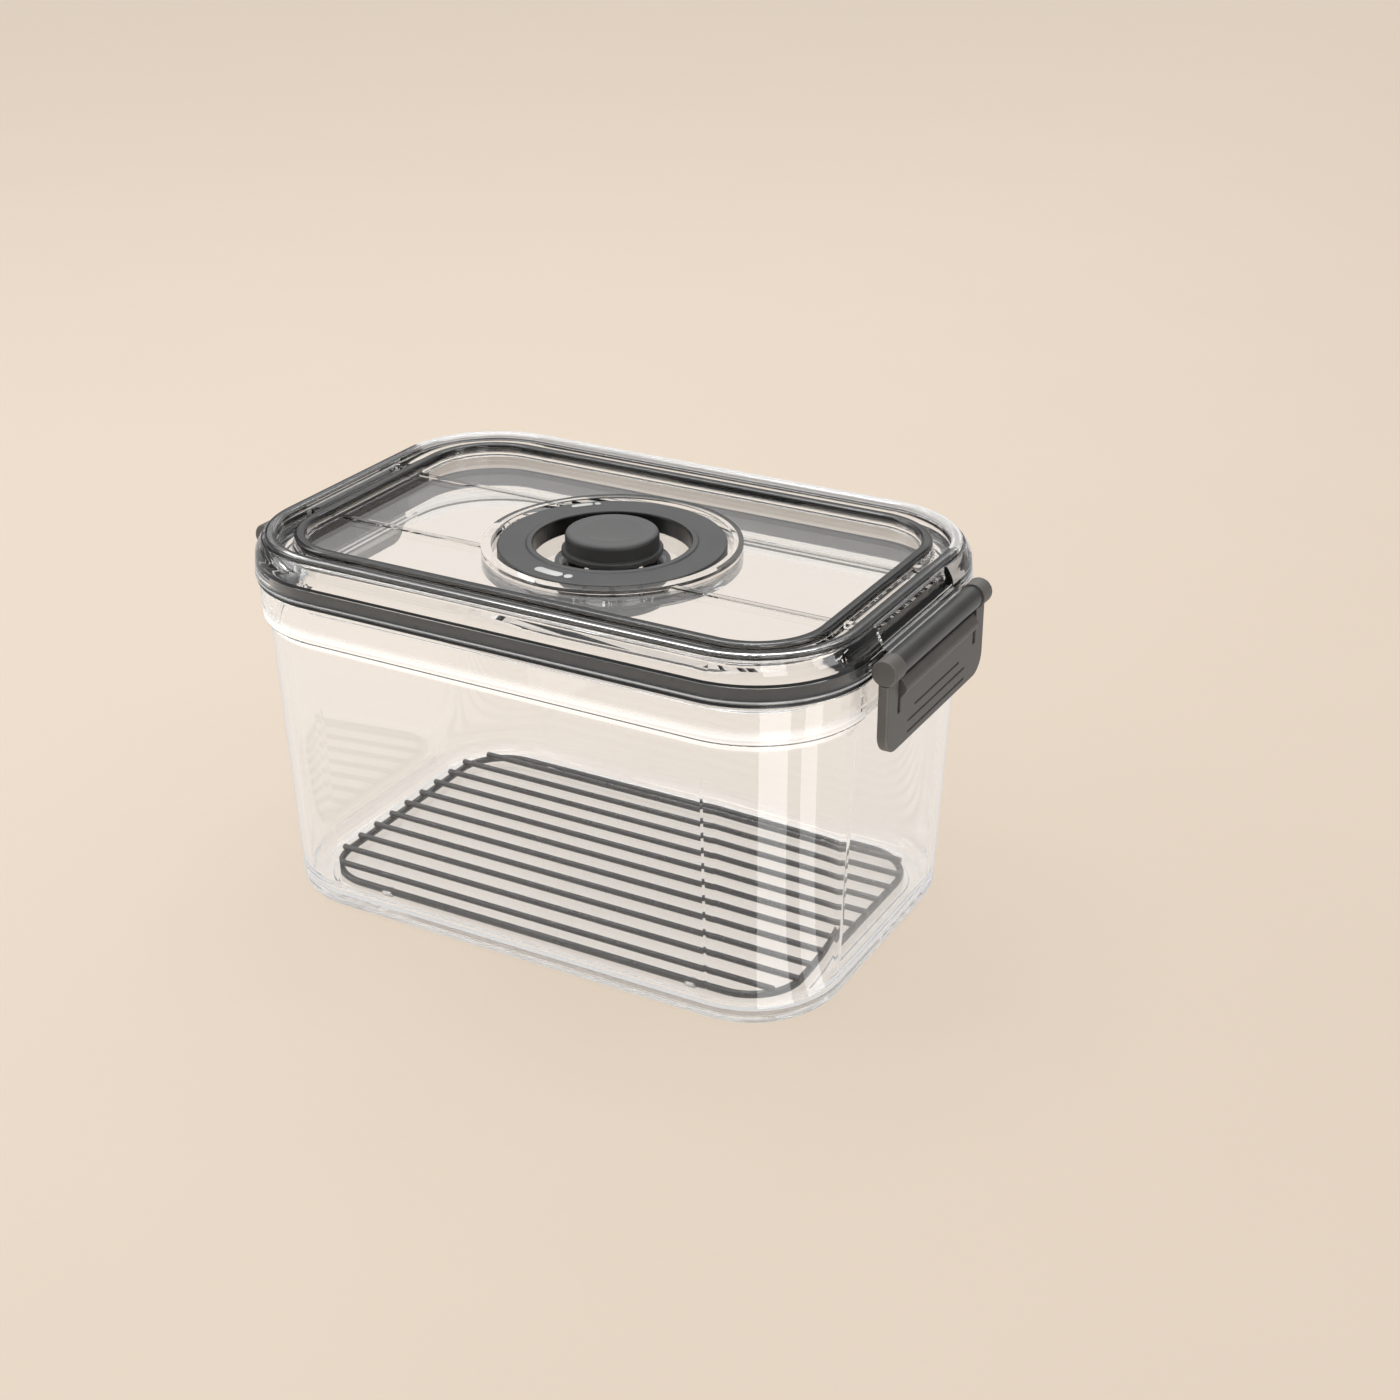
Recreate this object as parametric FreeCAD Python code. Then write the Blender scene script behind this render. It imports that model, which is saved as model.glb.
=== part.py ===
import FreeCAD, Part
import math
import os

# Vacuum seal canister: a clear box, a clear latched lid with a silicone gasket, a push valve in the
# middle of the lid under a turning ring, and a draining rack that lies on the floor of the box.
# Millimetres. +X along the long side, +Y to the back, +Z up, origin under the middle of the base.
# Walls follow one loop, a rounded rectangle through the middle of the lid's outer rim. An offset is
# measured from that loop, outward positive, so parallel walls share their corner centres.

# Rim loop
rim_length = 218.0
rim_width = 142.4
rim_corner = 35.0

# Box
box_height = 120.0
box_wall = 3.0
box_floor = 3.2
box_draft_deg = 2.5
foot_inset = 2.4
foot_round = 5.0
cavity_round = 8.0
base_recess = 0.8
base_ring = 10.0
collar_height = 13.7
collar_step = 2.1
collar_round = 1.0

# Lid shell
lid_height = 15.0
lid_overhang = 6.2
lid_wall = 3.2
lid_shoulder_inset = 0.9
lid_shoulder_drop = 5.7
lid_shoulder_round = 7.0
rim_wall = 3.8
rim_round = 1.1
rim_pitch = 10.0
inner_rim_drop = 1.0
gutter_depth = 5.2
panel_thickness = 3.0
plug_wall = 2.8
plug_depth = 13.5
bridge_spacing = 53.0
bridge_width = 2.6
bridge_drop = 0.4
bead_spacing = 48.4
bead_width = 2.0
bead_height = 0.7
foot_of_wall_round = 0.7
panel_core_corner = 5.0

# Strips on the tops of the lid's two rim walls
strip_height = 1.7
strip_ledge = 1.0
strip_tongue = 1.4
strip_tongue_depth = 1.2
strip_play = 0.05

# Gasket
seal_lip = 1.15
seal_gap = 0.05
seal_side_play = 0.05
seal_lip_inset = 0.6
seal_band = 3.7
seal_band_height = 3.6
seal_shoulder_height = 5.9
seal_wall_gap = 0.3
seal_band_step = 0.85
seal_edge_round = 0.4

# Latches and their hinge
pivot_reach = 11.0
pivot_above_box = 4.0
barrel_radius = 3.9
barrel_length = 62.0
carrier_inset = 3.0
carrier_thickness = 4.4
carrier_fillet_reach = 2.2
carrier_fillet_rise = 3.4
carrier_edge_round = 0.8
pin_radius = 2.6
pin_running_clearance = 0.05
pin_seat_clearance = 0.02
knob_radius = 4.4
knob_side_gap = 0.5
knob_length = 5.6
cap_thickness = 1.6
cap_edge = 0.6
plate_thickness = 3.8
plate_drop = 29.0
plate_corner = 7.5
plate_edge_round = 0.8
slot_width = 2.4
slot_depth = 16.2
tongue_gap = 1.0
grip_bar_height = 6.7
grip_bar_bulge = 2.4
grip_bar_round = 2.0
grip_edge_round = 1.2
hook_width = 46.0
hook_bite = 1.5
hook_gap = 0.5
hook_height = 3.6
hook_gusset = 1.5
hook_round = 0.4
groove_width = 0.9
groove_depth = 0.5
groove_start = 6.5
groove_pitch = 3.9
groove_lengths = (36.0, 46.0, 46.0)

# Valve well in the lid
bezel_radius = 45.0
bezel_wall = 3.4
bezel_height = 1.2
well_depth = 5.0
well_floor = 3.0
guide_wall = 2.0
guide_height = 3.3
port_count = 6
port_radius = 1.3
port_circle = 9.5

# Turning ring
ring_outer_radius = 39.5
ring_inner_radius = 27.2
ring_skin = 2.1
ring_above_panel = 0.8
ring_lip_height = 0.5
ring_lip_width = 2.6
ring_sleeve = 2.0
ring_edge_round = 0.5
ring_guide_gap = 0.2
ring_seat_gap = 0.1
ring_running_clearance = 0.08

# Push button, plunger, spring and check disc
button_radius = 16.2
button_height = 7.8
button_wall = 2.2
button_round = 1.7
button_skirt = 1.3
button_skirt_height = 1.9
button_skirt_round = 0.6
button_travel = 2.0
button_stop_gap = 0.15
dish_radius = 10.5
dish_depth = 0.9
plunger_disc = 2.0
plunger_side_gap = 0.3
stem_radius = 2.95
stem_clearance = 0.05
stem_head_radius = 4.6
stem_head = 1.4
stem_head_round = 0.4
stem_hub_radius = 6.0
stem_hub_drop = 2.0
stem_seal_radius = 0.9
stem_seal_gap = 0.1
spring_wire = 0.8
spring_coil_radius = 4.7
spring_turns = 3.5
spring_end_gap = 0.1
disc_thickness = 1.0
disc_inner_radius = 6.2
disc_outer_radius = 13.0

# Guard cup under the valve
guard_radius = 20.0
guard_wall = 1.6
guard_depth = 14.0
guard_slot_count = 12
guard_slot_width = 2.4
guard_rim_solid = 3.0
guard_floor_holes = 8
guard_hole_radius = 1.8
guard_hole_circle = 11.0
guard_edge_round = 2.0

# Draining rack
rack_inset = 16.2
rack_frame_wire = 2.6
rack_bar_wire = 2.2
rack_bar_pitch = 9.8
rack_bar_edge = 5.0
rack_bar_overhang = 1.4
rack_bar_end_round = 0.7
rack_weld = 0.5
rack_clear_floor = 0.5
rack_foot_radius = 2.4
rack_foot_grip = 0.5
rack_foot_round = 0.5
rack_foot_inset = 12.0

# How far a cutting or joining block reaches past the face it meets
cut_margin = 1.0

# Levels and offsets worked out from the sizes above
draft = math.tan(math.radians(box_draft_deg))
core_offset = panel_core_corner - rim_corner
collar_bottom = box_height - collar_height
lid_bottom = box_height + seal_gap + seal_lip
lid_top = lid_bottom + lid_height
inner_rim_top = lid_top - inner_rim_drop
panel_top = lid_top - gutter_depth
panel_bottom = panel_top - panel_thickness
bezel_top = panel_top + bezel_height
well_top = panel_top - well_depth
well_bottom = well_top - well_floor
pivot_x = rim_length / 2 + pivot_reach
pivot_z = box_height + pivot_above_box
knob_start = barrel_length / 2 + knob_side_gap
knob_end = knob_start + knob_length
plate_half_width = knob_end + cap_thickness
plate_back = pivot_x - plate_thickness / 2
plate_face = pivot_x + plate_thickness / 2
carrier_half_width = barrel_length / 2 - carrier_inset
ring_top = panel_top + ring_above_panel
sleeve_radius = ring_inner_radius + ring_sleeve
guide_bore = sleeve_radius + ring_running_clearance
button_bottom = well_top + button_travel + button_stop_gap
button_top = button_bottom + button_height
hollow_top = button_top - button_wall
hub_bottom = well_bottom - stem_hub_drop
stem_bore = stem_radius + stem_clearance


def outer_wall(z):
    """Offset of the box's outer face at a height."""
    return z * draft - foot_inset


def inner_wall(z):
    """Offset of the box's inner face at a height."""
    return outer_wall(z) - box_wall


def vector(x, y, z):
    return FreeCAD.Vector(x, y, z)


def rounded_outline(corners):
    """Closed wire in the XZ plane through (x, z, radius) corners, each rounded by a tangent arc."""
    starts, middles, ends = [], [], []
    count = len(corners)
    for index in range(count):
        x, z, radius = corners[index]
        here = vector(x, 0, z)
        before = vector(corners[index - 1][0], 0, corners[index - 1][1])
        after = vector(corners[(index + 1) % count][0], 0, corners[(index + 1) % count][1])
        to_before = (before - here).normalize()
        to_after = (after - here).normalize()
        half_angle = to_before.getAngle(to_after) / 2
        if radius > 0:
            tangent = radius / math.tan(half_angle)
            bisector = (to_before + to_after).normalize()
            starts.append(here + to_before * tangent)
            ends.append(here + to_after * tangent)
            middles.append(here + bisector * (radius / math.sin(half_angle) - radius))
        else:
            starts.append(here)
            ends.append(here)
            middles.append(None)
    edges = []
    for index in range(count):
        if middles[index] is not None:
            edges.append(Part.Arc(starts[index], middles[index], ends[index]).toShape())
        following = starts[(index + 1) % count]
        if ends[index].distanceToPoint(following) > 1e-6:
            edges.append(Part.LineSegment(ends[index], following).toShape())
    return Part.Wire(edges)


def join(shapes):
    """One solid from touching or overlapping ones."""
    return shapes[0].multiFuse(shapes[1:]).removeSplitter()


def follow_rim(corners):
    """Carries a section of (offset, z, radius) corners round the rim loop."""
    section = Part.Face(rounded_outline(corners))
    centre_x = rim_length / 2 - rim_corner
    centre_y = rim_width / 2 - rim_corner
    pieces = []
    for quarter in range(4):
        turn = 90 * quarter
        side_x = (1, -1, -1, 1)[quarter]
        side_y = (1, 1, -1, -1)[quarter]
        corner = section.translated(vector(rim_corner, 0, 0))
        corner = corner.revolve(vector(0, 0, 0), vector(0, 0, 1), 90)
        corner.rotate(vector(0, 0, 0), vector(0, 0, 1), turn)
        corner.translate(vector(side_x * centre_x, side_y * centre_y, 0))
        reach, run = (centre_x, centre_y) if quarter % 2 == 0 else (centre_y, centre_x)
        side = section.translated(vector(reach + rim_corner, -run, 0))
        side = side.extrude(vector(0, 2 * run, 0))
        side.rotate(vector(0, 0, 0), vector(0, 0, 1), turn)
        pieces += [corner, side]
    return join(pieces)


def rim_path(offset):
    """The rim loop moved by an offset, as a wire at z = 0."""
    half_x = rim_length / 2 + offset
    half_y = rim_width / 2 + offset
    radius = rim_corner + offset
    path = rounded_outline([(-half_x, -half_y, radius), (half_x, -half_y, radius),
                            (half_x, half_y, radius), (-half_x, half_y, radius)])
    path.rotate(vector(0, 0, 0), vector(1, 0, 0), -90)
    return path


def rim_plate(offset, low, high):
    """Flat plate bounded by the rim loop moved by an offset."""
    plate = Part.Face(rim_path(offset))
    if plate.normalAt(0, 0).z < 0:
        plate.reverse()
    plate.translate(vector(0, 0, low))
    return plate.extrude(vector(0, 0, high - low))


def turned(corners):
    """Solid of revolution about Z from (radius, z, rounding) corners."""
    section = Part.Face(rounded_outline(corners))
    return section.revolve(vector(0, 0, 0), vector(0, 0, 1), 360)


def tube(inner, outer, low, high):
    """Plain ring about Z, or a disc when the inner radius is zero."""
    disc = Part.makeCylinder(outer, high - low, vector(0, 0, low))
    if inner > 0:
        disc = disc.cut(Part.makeCylinder(inner, high - low, vector(0, 0, low)))
    return disc


def block(x_low, x_high, y_low, y_high, z_low, z_high):
    return Part.makeBox(x_high - x_low, y_high - y_low, z_high - z_low, vector(x_low, y_low, z_low))


def bar_along_y(corners, half_width):
    """Extrudes an XZ section of (x, z, radius) corners across the middle plane."""
    section = Part.Face(rounded_outline(corners))
    section.translate(vector(0, -half_width, 0))
    return section.extrude(vector(0, 2 * half_width, 0))


def rod_along_y(radius, low, high, x, z):
    return Part.makeCylinder(radius, high - low, vector(x, low, z), vector(0, 1, 0))


def half_turn(shape):
    """The same piece for the other end of the canister."""
    return shape.rotated(vector(0, 0, 0), vector(0, 0, 1), 180)


def round_pattern(shape, count):
    """Copies of a shape spread evenly about Z."""
    return [shape.rotated(vector(0, 0, 0), vector(0, 0, 1), 360.0 * step / count) for step in range(count)]


def make_container_body():
    collar_low = outer_wall(collar_bottom) + collar_step
    collar_high = outer_wall(box_height) + collar_step
    ring_edge = -foot_inset - base_ring
    shell = follow_rim([
        (core_offset, base_recess, 0),
        (ring_edge - base_recess, base_recess, 0),
        (ring_edge, 0, 0),
        (outer_wall(0), 0, foot_round),
        (outer_wall(collar_bottom), collar_bottom, collar_round),
        (collar_low, collar_bottom, collar_round),
        (collar_high, box_height, collar_round),
        (inner_wall(box_height), box_height, collar_round),
        (inner_wall(box_floor), box_floor, cavity_round),
        (core_offset, box_floor, 0),
    ])
    return join([shell, rim_plate(core_offset, base_recess, box_floor)])


def rim_groove(middle, top):
    """Corners of the groove for a strip in the top of a rim wall, from the outside inward."""
    half_width = strip_tongue / 2 + strip_play
    seat = top - strip_height
    floor = seat - strip_tongue_depth - strip_play
    return [
        (middle + half_width, seat, 0),
        (middle + half_width, floor, 0),
        (middle - half_width, floor, 0),
        (middle - half_width, seat, 0),
    ]


def lid_section():
    """Section of the lid from the middle of the panel out to its edge."""
    half_rim = rim_wall / 2
    gutter_edge = half_rim - rim_pitch
    inner_foot = -half_rim - rim_pitch
    outer_seat = lid_top - strip_height
    inner_seat = inner_rim_top - strip_height
    shoulder = lid_top - lid_shoulder_drop
    lip_inside = lid_overhang - lid_wall
    plug_outside = seal_inner_face() - seal_side_play
    plug_inside = plug_outside - plug_wall
    plug_bottom = panel_bottom - plug_depth
    shoulder_ceiling = lid_bottom + seal_shoulder_height - seal_lip
    band_ceiling = box_height + seal_gap + seal_band_rise() + seal_gap
    band_side = seal_outer_face() - seal_side_play
    return [
        (core_offset, panel_bottom, 0),
        (plug_inside, panel_bottom, foot_of_wall_round),
        (plug_inside, plug_bottom, foot_of_wall_round),
        (plug_outside, plug_bottom, foot_of_wall_round),
        (plug_outside, band_ceiling, 0),
        (band_side, band_ceiling, 0),
        (band_side, shoulder_ceiling, 0),
        (lip_inside, shoulder_ceiling, 0),
        (lip_inside, lid_bottom, foot_of_wall_round),
        (lid_overhang, lid_bottom, rim_round),
        (lid_overhang - lid_shoulder_inset, shoulder, lid_shoulder_round),
        (half_rim + strip_ledge, outer_seat, foot_of_wall_round),
        *rim_groove(0, lid_top),
        (-half_rim, outer_seat, 0),
        (-half_rim, panel_top, foot_of_wall_round),
        (gutter_edge, panel_top, foot_of_wall_round),
        (gutter_edge, inner_seat, 0),
        *rim_groove(-rim_pitch, inner_rim_top),
        (inner_foot, inner_seat, 0),
        (inner_foot, panel_top, foot_of_wall_round),
        (core_offset, panel_top, 0),
    ]


def make_rim_strip(middle, top):
    """Strip that caps a rim wall, held by a tongue in the wall's groove."""
    half_rim = rim_wall / 2
    half_tongue = strip_tongue / 2
    seat = top - strip_height
    return follow_rim([
        (middle - half_tongue, seat - strip_tongue_depth, 0),
        (middle + half_tongue, seat - strip_tongue_depth, 0),
        (middle + half_tongue, seat, 0),
        (middle + half_rim, seat, 0),
        (middle + half_rim, top, rim_round),
        (middle - half_rim, top, rim_round),
        (middle - half_rim, seat, 0),
        (middle - half_tongue, seat, 0),
    ])


def seal_outer_face():
    """Offset of the gasket band's face next to the box wall."""
    band_low = box_height + seal_gap + seal_band_rise() - seal_band_height
    return inner_wall(band_low) - seal_wall_gap


def seal_inner_face():
    return seal_outer_face() - seal_band


def seal_band_rise():
    """How far the gasket's band stands above the rim of the box."""
    return seal_lip + seal_band_step


def make_lid_gasket():
    low = box_height + seal_gap
    band_top = low + seal_band_rise()
    band_low = band_top - seal_band_height
    shoulder_top = low + seal_shoulder_height
    shoulder_out = lid_overhang - lid_wall - seal_side_play
    lip_out = lid_overhang - seal_lip_inset
    return follow_rim([
        (seal_outer_face(), band_low, foot_of_wall_round),
        (seal_outer_face(), low, 0),
        (lip_out, low, seal_edge_round),
        (lip_out, low + seal_lip, seal_edge_round),
        (shoulder_out, low + seal_lip, 0),
        (shoulder_out, shoulder_top, seal_edge_round),
        (seal_outer_face(), shoulder_top, 0),
        (seal_outer_face(), band_top, 0),
        (seal_inner_face(), band_top, 0),
        (seal_inner_face(), band_low, foot_of_wall_round),
    ])


def hinge_carrier():
    """Ledge and barrel that carry the latch at the right-hand end."""
    wall_x = rim_length / 2 + rim_wall / 2
    lip_x = rim_length / 2 + lid_overhang - lid_wall / 2
    ledge_top = pivot_z + carrier_thickness / 2
    ledge_low = pivot_z - carrier_thickness / 2
    ledge = bar_along_y([
        (lip_x, ledge_low, 0),
        (pivot_x, ledge_low, 0),
        (pivot_x, ledge_top, carrier_edge_round),
        (wall_x + carrier_fillet_reach, ledge_top + carrier_fillet_rise / 3, 2 * carrier_edge_round),
        (wall_x, ledge_top + carrier_fillet_rise, 0),
        (wall_x, ledge_top, 0),
        (lip_x, ledge_top, 0),
    ], carrier_half_width)
    barrel = rod_along_y(barrel_radius, -barrel_length / 2, barrel_length / 2, pivot_x, pivot_z)
    return join([ledge, barrel])


def latch_pocket():
    """Space cut out of the lid's bulge above the hinge, so that the latch can swing up."""
    wall_x = rim_length / 2 + rim_wall / 2
    far_x = rim_length / 2 + lid_overhang + cut_margin
    ledge_top = pivot_z + carrier_thickness / 2
    return bar_along_y([
        (wall_x, ledge_top + carrier_fillet_rise / 3, 0),
        (far_x, ledge_top, 0),
        (far_x, lid_top + cut_margin, 0),
        (wall_x, lid_top + cut_margin, 0),
    ], carrier_half_width)


def valve_well():
    """Bezel, well, ring guide and stem hub in the middle of the lid."""
    solid = join([
        Part.makeCylinder(bezel_radius, bezel_top - well_bottom, vector(0, 0, well_bottom)),
        Part.makeCylinder(stem_hub_radius, well_floor + stem_hub_drop, vector(0, 0, hub_bottom)),
    ])
    recess = Part.makeCylinder(bezel_radius - bezel_wall, well_depth + bezel_height, vector(0, 0, well_top))
    guide = tube(guide_bore, guide_bore + guide_wall, well_top, well_top + guide_height)
    bore = Part.makeCylinder(stem_bore, well_floor + stem_hub_drop, vector(0, 0, hub_bottom))
    port = Part.makeCylinder(port_radius, well_floor, vector(port_circle, 0, well_bottom))
    return join([solid.cut(recess), guide]).cut([bore] + round_pattern(port, port_count))


def make_lid_shell():
    half_rim = rim_wall / 2
    inner_foot = rim_length / 2 - half_rim - rim_pitch
    shell = join([follow_rim(lid_section()), rim_plate(core_offset, panel_bottom, panel_top)])
    shell = shell.cut([latch_pocket(), half_turn(latch_pocket())])
    hole = Part.makeCylinder(bezel_radius - bezel_wall / 2, panel_thickness, vector(0, 0, panel_bottom))
    added = [valve_well(), hinge_carrier(), half_turn(hinge_carrier())]
    bead_start = math.sqrt(bezel_radius ** 2 - (bead_spacing / 2) ** 2) - bezel_wall / 2
    bridge_root = (rim_wall - strip_tongue) / 4
    for side in (-1, 1):
        middle = side * bead_spacing / 2
        bead = block(bead_start, inner_foot + cut_margin, middle - bead_width / 2, middle + bead_width / 2,
                     panel_top - cut_margin, panel_top + bead_height)
        middle = side * bridge_spacing / 2
        bridge = block(inner_foot + rim_wall - bridge_root, rim_length / 2 - half_rim + bridge_root,
                       middle - bridge_width / 2, middle + bridge_width / 2,
                       panel_top - cut_margin, inner_rim_top - strip_height - bridge_drop)
        added += [bead, half_turn(bead), bridge, half_turn(bridge)]
    shell = join([shell.cut(hole)] + added)
    bore_radius = pin_radius + pin_running_clearance
    bore = rod_along_y(bore_radius, -barrel_length / 2, barrel_length / 2, pivot_x, pivot_z)
    return shell.cut([bore, half_turn(bore)])


def latch_plate():
    """Flat part of the latch with its arms, seen from the end of the canister."""
    low = pivot_z - plate_drop
    corners = [
        (-plate_half_width, low, plate_corner),
        (plate_half_width, low, plate_corner),
        (plate_half_width, pivot_z, 0),
        (-plate_half_width, pivot_z, 0),
    ]
    outline = rounded_outline(corners)
    outline.rotate(vector(0, 0, 0), vector(0, 0, 1), 90)
    outline.translate(vector(plate_back, 0, 0))
    plate = Part.Face(outline).extrude(vector(plate_thickness, 0, 0))
    outlines = [edge for edge in plate.Edges if edge.BoundBox.XLength < plate_thickness / 2]
    below_top = [edge for edge in outlines if edge.CenterOfMass.z < pivot_z - plate_edge_round]
    plate = plate.makeFillet(plate_edge_round, below_top)
    tongue_top = pivot_z - barrel_radius - tongue_gap
    far_x = plate_face + cut_margin
    near_x = plate_back - cut_margin
    high = pivot_z + cut_margin
    cuts = [block(near_x, far_x, -knob_start, knob_start, tongue_top, high)]
    for side in (-1, 1):
        edge = side * knob_start
        inner = edge - side * slot_width
        cuts.append(block(near_x, far_x, min(edge, inner), max(edge, inner), pivot_z - slot_depth, high))
    return plate.cut(cuts)


def make_latch():
    tongue_top = pivot_z - barrel_radius - tongue_gap
    tongue_half = knob_start - slot_width
    grip = bar_along_y([
        (plate_back, tongue_top - grip_bar_height, 0),
        (plate_face, tongue_top - grip_bar_height, 0),
        (plate_face + grip_bar_bulge, tongue_top - grip_bar_height / 2, grip_bar_round),
        (plate_face, tongue_top, grip_edge_round),
        (plate_back, tongue_top, grip_edge_round),
    ], tongue_half)
    hook_top = collar_bottom - hook_gap
    hook_tip = rim_length / 2 + outer_wall(collar_bottom) + collar_step - hook_bite
    hook = bar_along_y([
        (hook_tip, hook_top - hook_height / 2, hook_round),
        (hook_tip, hook_top, hook_round),
        (pivot_x, hook_top, 0),
        (pivot_x, hook_top - hook_height - hook_gusset, 0),
        (plate_back, hook_top - hook_height - hook_gusset, 0),
        (plate_back - hook_gusset, hook_top - hook_height, 0),
    ], hook_width / 2)
    pieces = [latch_plate(), grip, hook]
    for side in (-1, 1):
        low = min(side * knob_start, side * knob_end)
        pieces.append(rod_along_y(knob_radius, low, low + knob_length, pivot_x, pivot_z))
    latch = join(pieces)
    pin_seat = pin_radius + pin_seat_clearance
    cuts = [rod_along_y(pin_seat, -plate_half_width, plate_half_width, pivot_x, pivot_z)]
    for side in (-1, 1):
        low = min(side * knob_end, side * plate_half_width)
        cuts.append(rod_along_y(knob_radius + pin_seat_clearance, low, low + cap_thickness, pivot_x, pivot_z))
    first_groove = tongue_top - grip_bar_height - groove_start
    for row, length in enumerate(groove_lengths):
        z = first_groove - row * groove_pitch
        cuts.append(block(plate_face - groove_depth, plate_face + cut_margin, -length / 2, length / 2,
                          z - groove_width / 2, z + groove_width / 2))
    return latch.cut(cuts)


def make_latch_pin():
    return rod_along_y(pin_radius, -knob_end, knob_end, pivot_x, pivot_z)


def make_latch_caps():
    """Two round caps that close the pin's bore at the knobs."""
    caps = []
    for side in (-1, 1):
        cap = turned([(0, 0, 0), (knob_radius, 0, 0),
                      (knob_radius, cap_thickness, cap_edge), (0, cap_thickness, 0)])
        cap.rotate(vector(0, 0, 0), vector(1, 0, 0), -90 * side)
        cap.translate(vector(pivot_x, side * knob_end, pivot_z))
        caps.append(cap)
    return Part.makeCompound(caps)


def make_valve_ring():
    low = well_top + ring_seat_gap
    skirt_inner = ring_outer_radius - ring_skin
    underside = well_top + guide_height + ring_guide_gap
    return turned([
        (ring_inner_radius, low, 0),
        (sleeve_radius, low, 0),
        (sleeve_radius, underside, 0),
        (skirt_inner, underside, 0),
        (skirt_inner, low, 0),
        (ring_outer_radius, low, 0),
        (ring_outer_radius, ring_top, ring_edge_round),
        (ring_inner_radius + ring_lip_width, ring_top, 0),
        (ring_inner_radius + ring_lip_width - ring_lip_height, ring_top + ring_lip_height, 0),
        (ring_inner_radius, ring_top + ring_lip_height, ring_edge_round),
    ])


def make_valve_button():
    skirt_radius = button_radius + button_skirt
    hollow_radius = button_radius - button_wall
    cap = turned([
        (0, hollow_top, 0),
        (hollow_radius, hollow_top, 0),
        (hollow_radius, button_bottom, 0),
        (skirt_radius, button_bottom, 0),
        (skirt_radius, button_bottom + button_skirt_height, button_skirt_round),
        (button_radius, button_bottom + button_skirt_height, 0),
        (button_radius, button_top, button_round),
        (0, button_top, 0),
    ])
    ball_radius = (dish_radius ** 2 + dish_depth ** 2) / (2 * dish_depth)
    dish = Part.makeSphere(ball_radius, vector(0, 0, button_top - dish_depth + ball_radius))
    return cap.cut(dish)


def make_valve_plunger():
    disc_radius = button_radius - button_wall - plunger_side_gap
    disc_low = hollow_top - plunger_disc
    head_top = hub_bottom - stem_seal_gap - 2 * stem_seal_radius
    return turned([
        (0, head_top - stem_head, 0),
        (stem_head_radius, head_top - stem_head, stem_head_round),
        (stem_head_radius, head_top, 0),
        (stem_radius, head_top, 0),
        (stem_radius, disc_low, 0),
        (disc_radius, disc_low, 0),
        (disc_radius, hollow_top, 0),
        (0, hollow_top, 0),
    ])


def make_plunger_seal():
    middle = hub_bottom - stem_seal_gap - stem_seal_radius
    return Part.makeTorus(stem_radius + stem_seal_radius, stem_seal_radius, vector(0, 0, middle))


def make_check_disc():
    return tube(disc_inner_radius, disc_outer_radius, well_top, well_top + disc_thickness)


def make_valve_guard():
    top = well_bottom
    low = top - guard_depth
    cup = turned([
        (0, low, 0),
        (guard_radius, low, guard_edge_round),
        (guard_radius, top, 0),
        (guard_radius - guard_wall, top, 0),
        (guard_radius - guard_wall, low + guard_wall, guard_edge_round - guard_wall / 2),
        (0, low + guard_wall, 0),
    ])
    slot = block(guard_radius - guard_wall - cut_margin, guard_radius + cut_margin,
                 -guard_slot_width / 2, guard_slot_width / 2,
                 low + guard_rim_solid, top - guard_rim_solid)
    hole = Part.makeCylinder(guard_hole_radius, guard_wall, vector(guard_hole_circle, 0, low))
    return cup.cut(round_pattern(slot, guard_slot_count) + round_pattern(hole, guard_floor_holes))


def biarc(start, start_direction, end, end_direction):
    """Two tangent arcs that join two points with given directions."""
    chord = end - start
    both = start_direction + end_direction
    a = 2 * (1 - start_direction.dot(end_direction))
    b = 2 * chord.dot(both)
    reach = (-b + math.sqrt(b * b + 4 * a * chord.dot(chord))) / (2 * a)
    first = start + start_direction * reach
    last = end - end_direction * reach
    middle = (first + last) * 0.5
    arcs = []
    for begin, direction, finish in ((start, start_direction, middle), (end, end_direction * -1, middle)):
        line = finish - begin
        across = (line - direction * line.dot(direction)).normalize()
        radius = line.dot(line) / (2 * line.dot(across))
        centre = begin + across * radius
        half_way = ((begin + finish) * 0.5 - centre).normalize()
        arcs.append((begin, centre + half_way * radius, finish))
    second = (arcs[1][2], arcs[1][1], arcs[1][0])
    return [Part.Arc(*arcs[0]).toShape(), Part.Arc(*second).toShape()]


def make_valve_spring():
    """Coil round the stem, between the well's floor and the plunger's disc."""
    low = well_top + spring_end_gap + spring_wire / 2
    high = hollow_top - plunger_disc - spring_end_gap - spring_wire / 2
    pitch = (high - low) / spring_turns
    steps = int(spring_turns * 4)
    slope = pitch / (2 * math.pi * spring_coil_radius)

    def coil_point(step):
        angle = step * math.pi / 2
        place = vector(math.cos(angle), math.sin(angle), 0) * spring_coil_radius
        direction = vector(-math.sin(angle), math.cos(angle), slope).normalize()
        return place + vector(0, 0, low + pitch * step / 4), direction

    edges = []
    for step in range(steps):
        edges += biarc(*coil_point(step), *coil_point(step + 1))
    path = Part.Wire(edges)
    place, direction = coil_point(0)
    circle = Part.Wire(Part.Circle(place, direction, spring_wire / 2).toShape())
    print("spring gap between turns", round(least_coil_gap(path, pitch), 3))
    return path.makePipeShell([circle], True, False)


def least_coil_gap(path, pitch):
    """Least free distance between points of the coil that lie over half a turn apart."""
    points_per_turn = 24
    points = path.discretize(int(spring_turns * points_per_turn) + 1)
    least = pitch
    for first in range(len(points)):
        for second in range(first + points_per_turn // 2 + 1, len(points)):
            least = min(least, points[first].distanceToPoint(points[second]))
    return least - spring_wire


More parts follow.
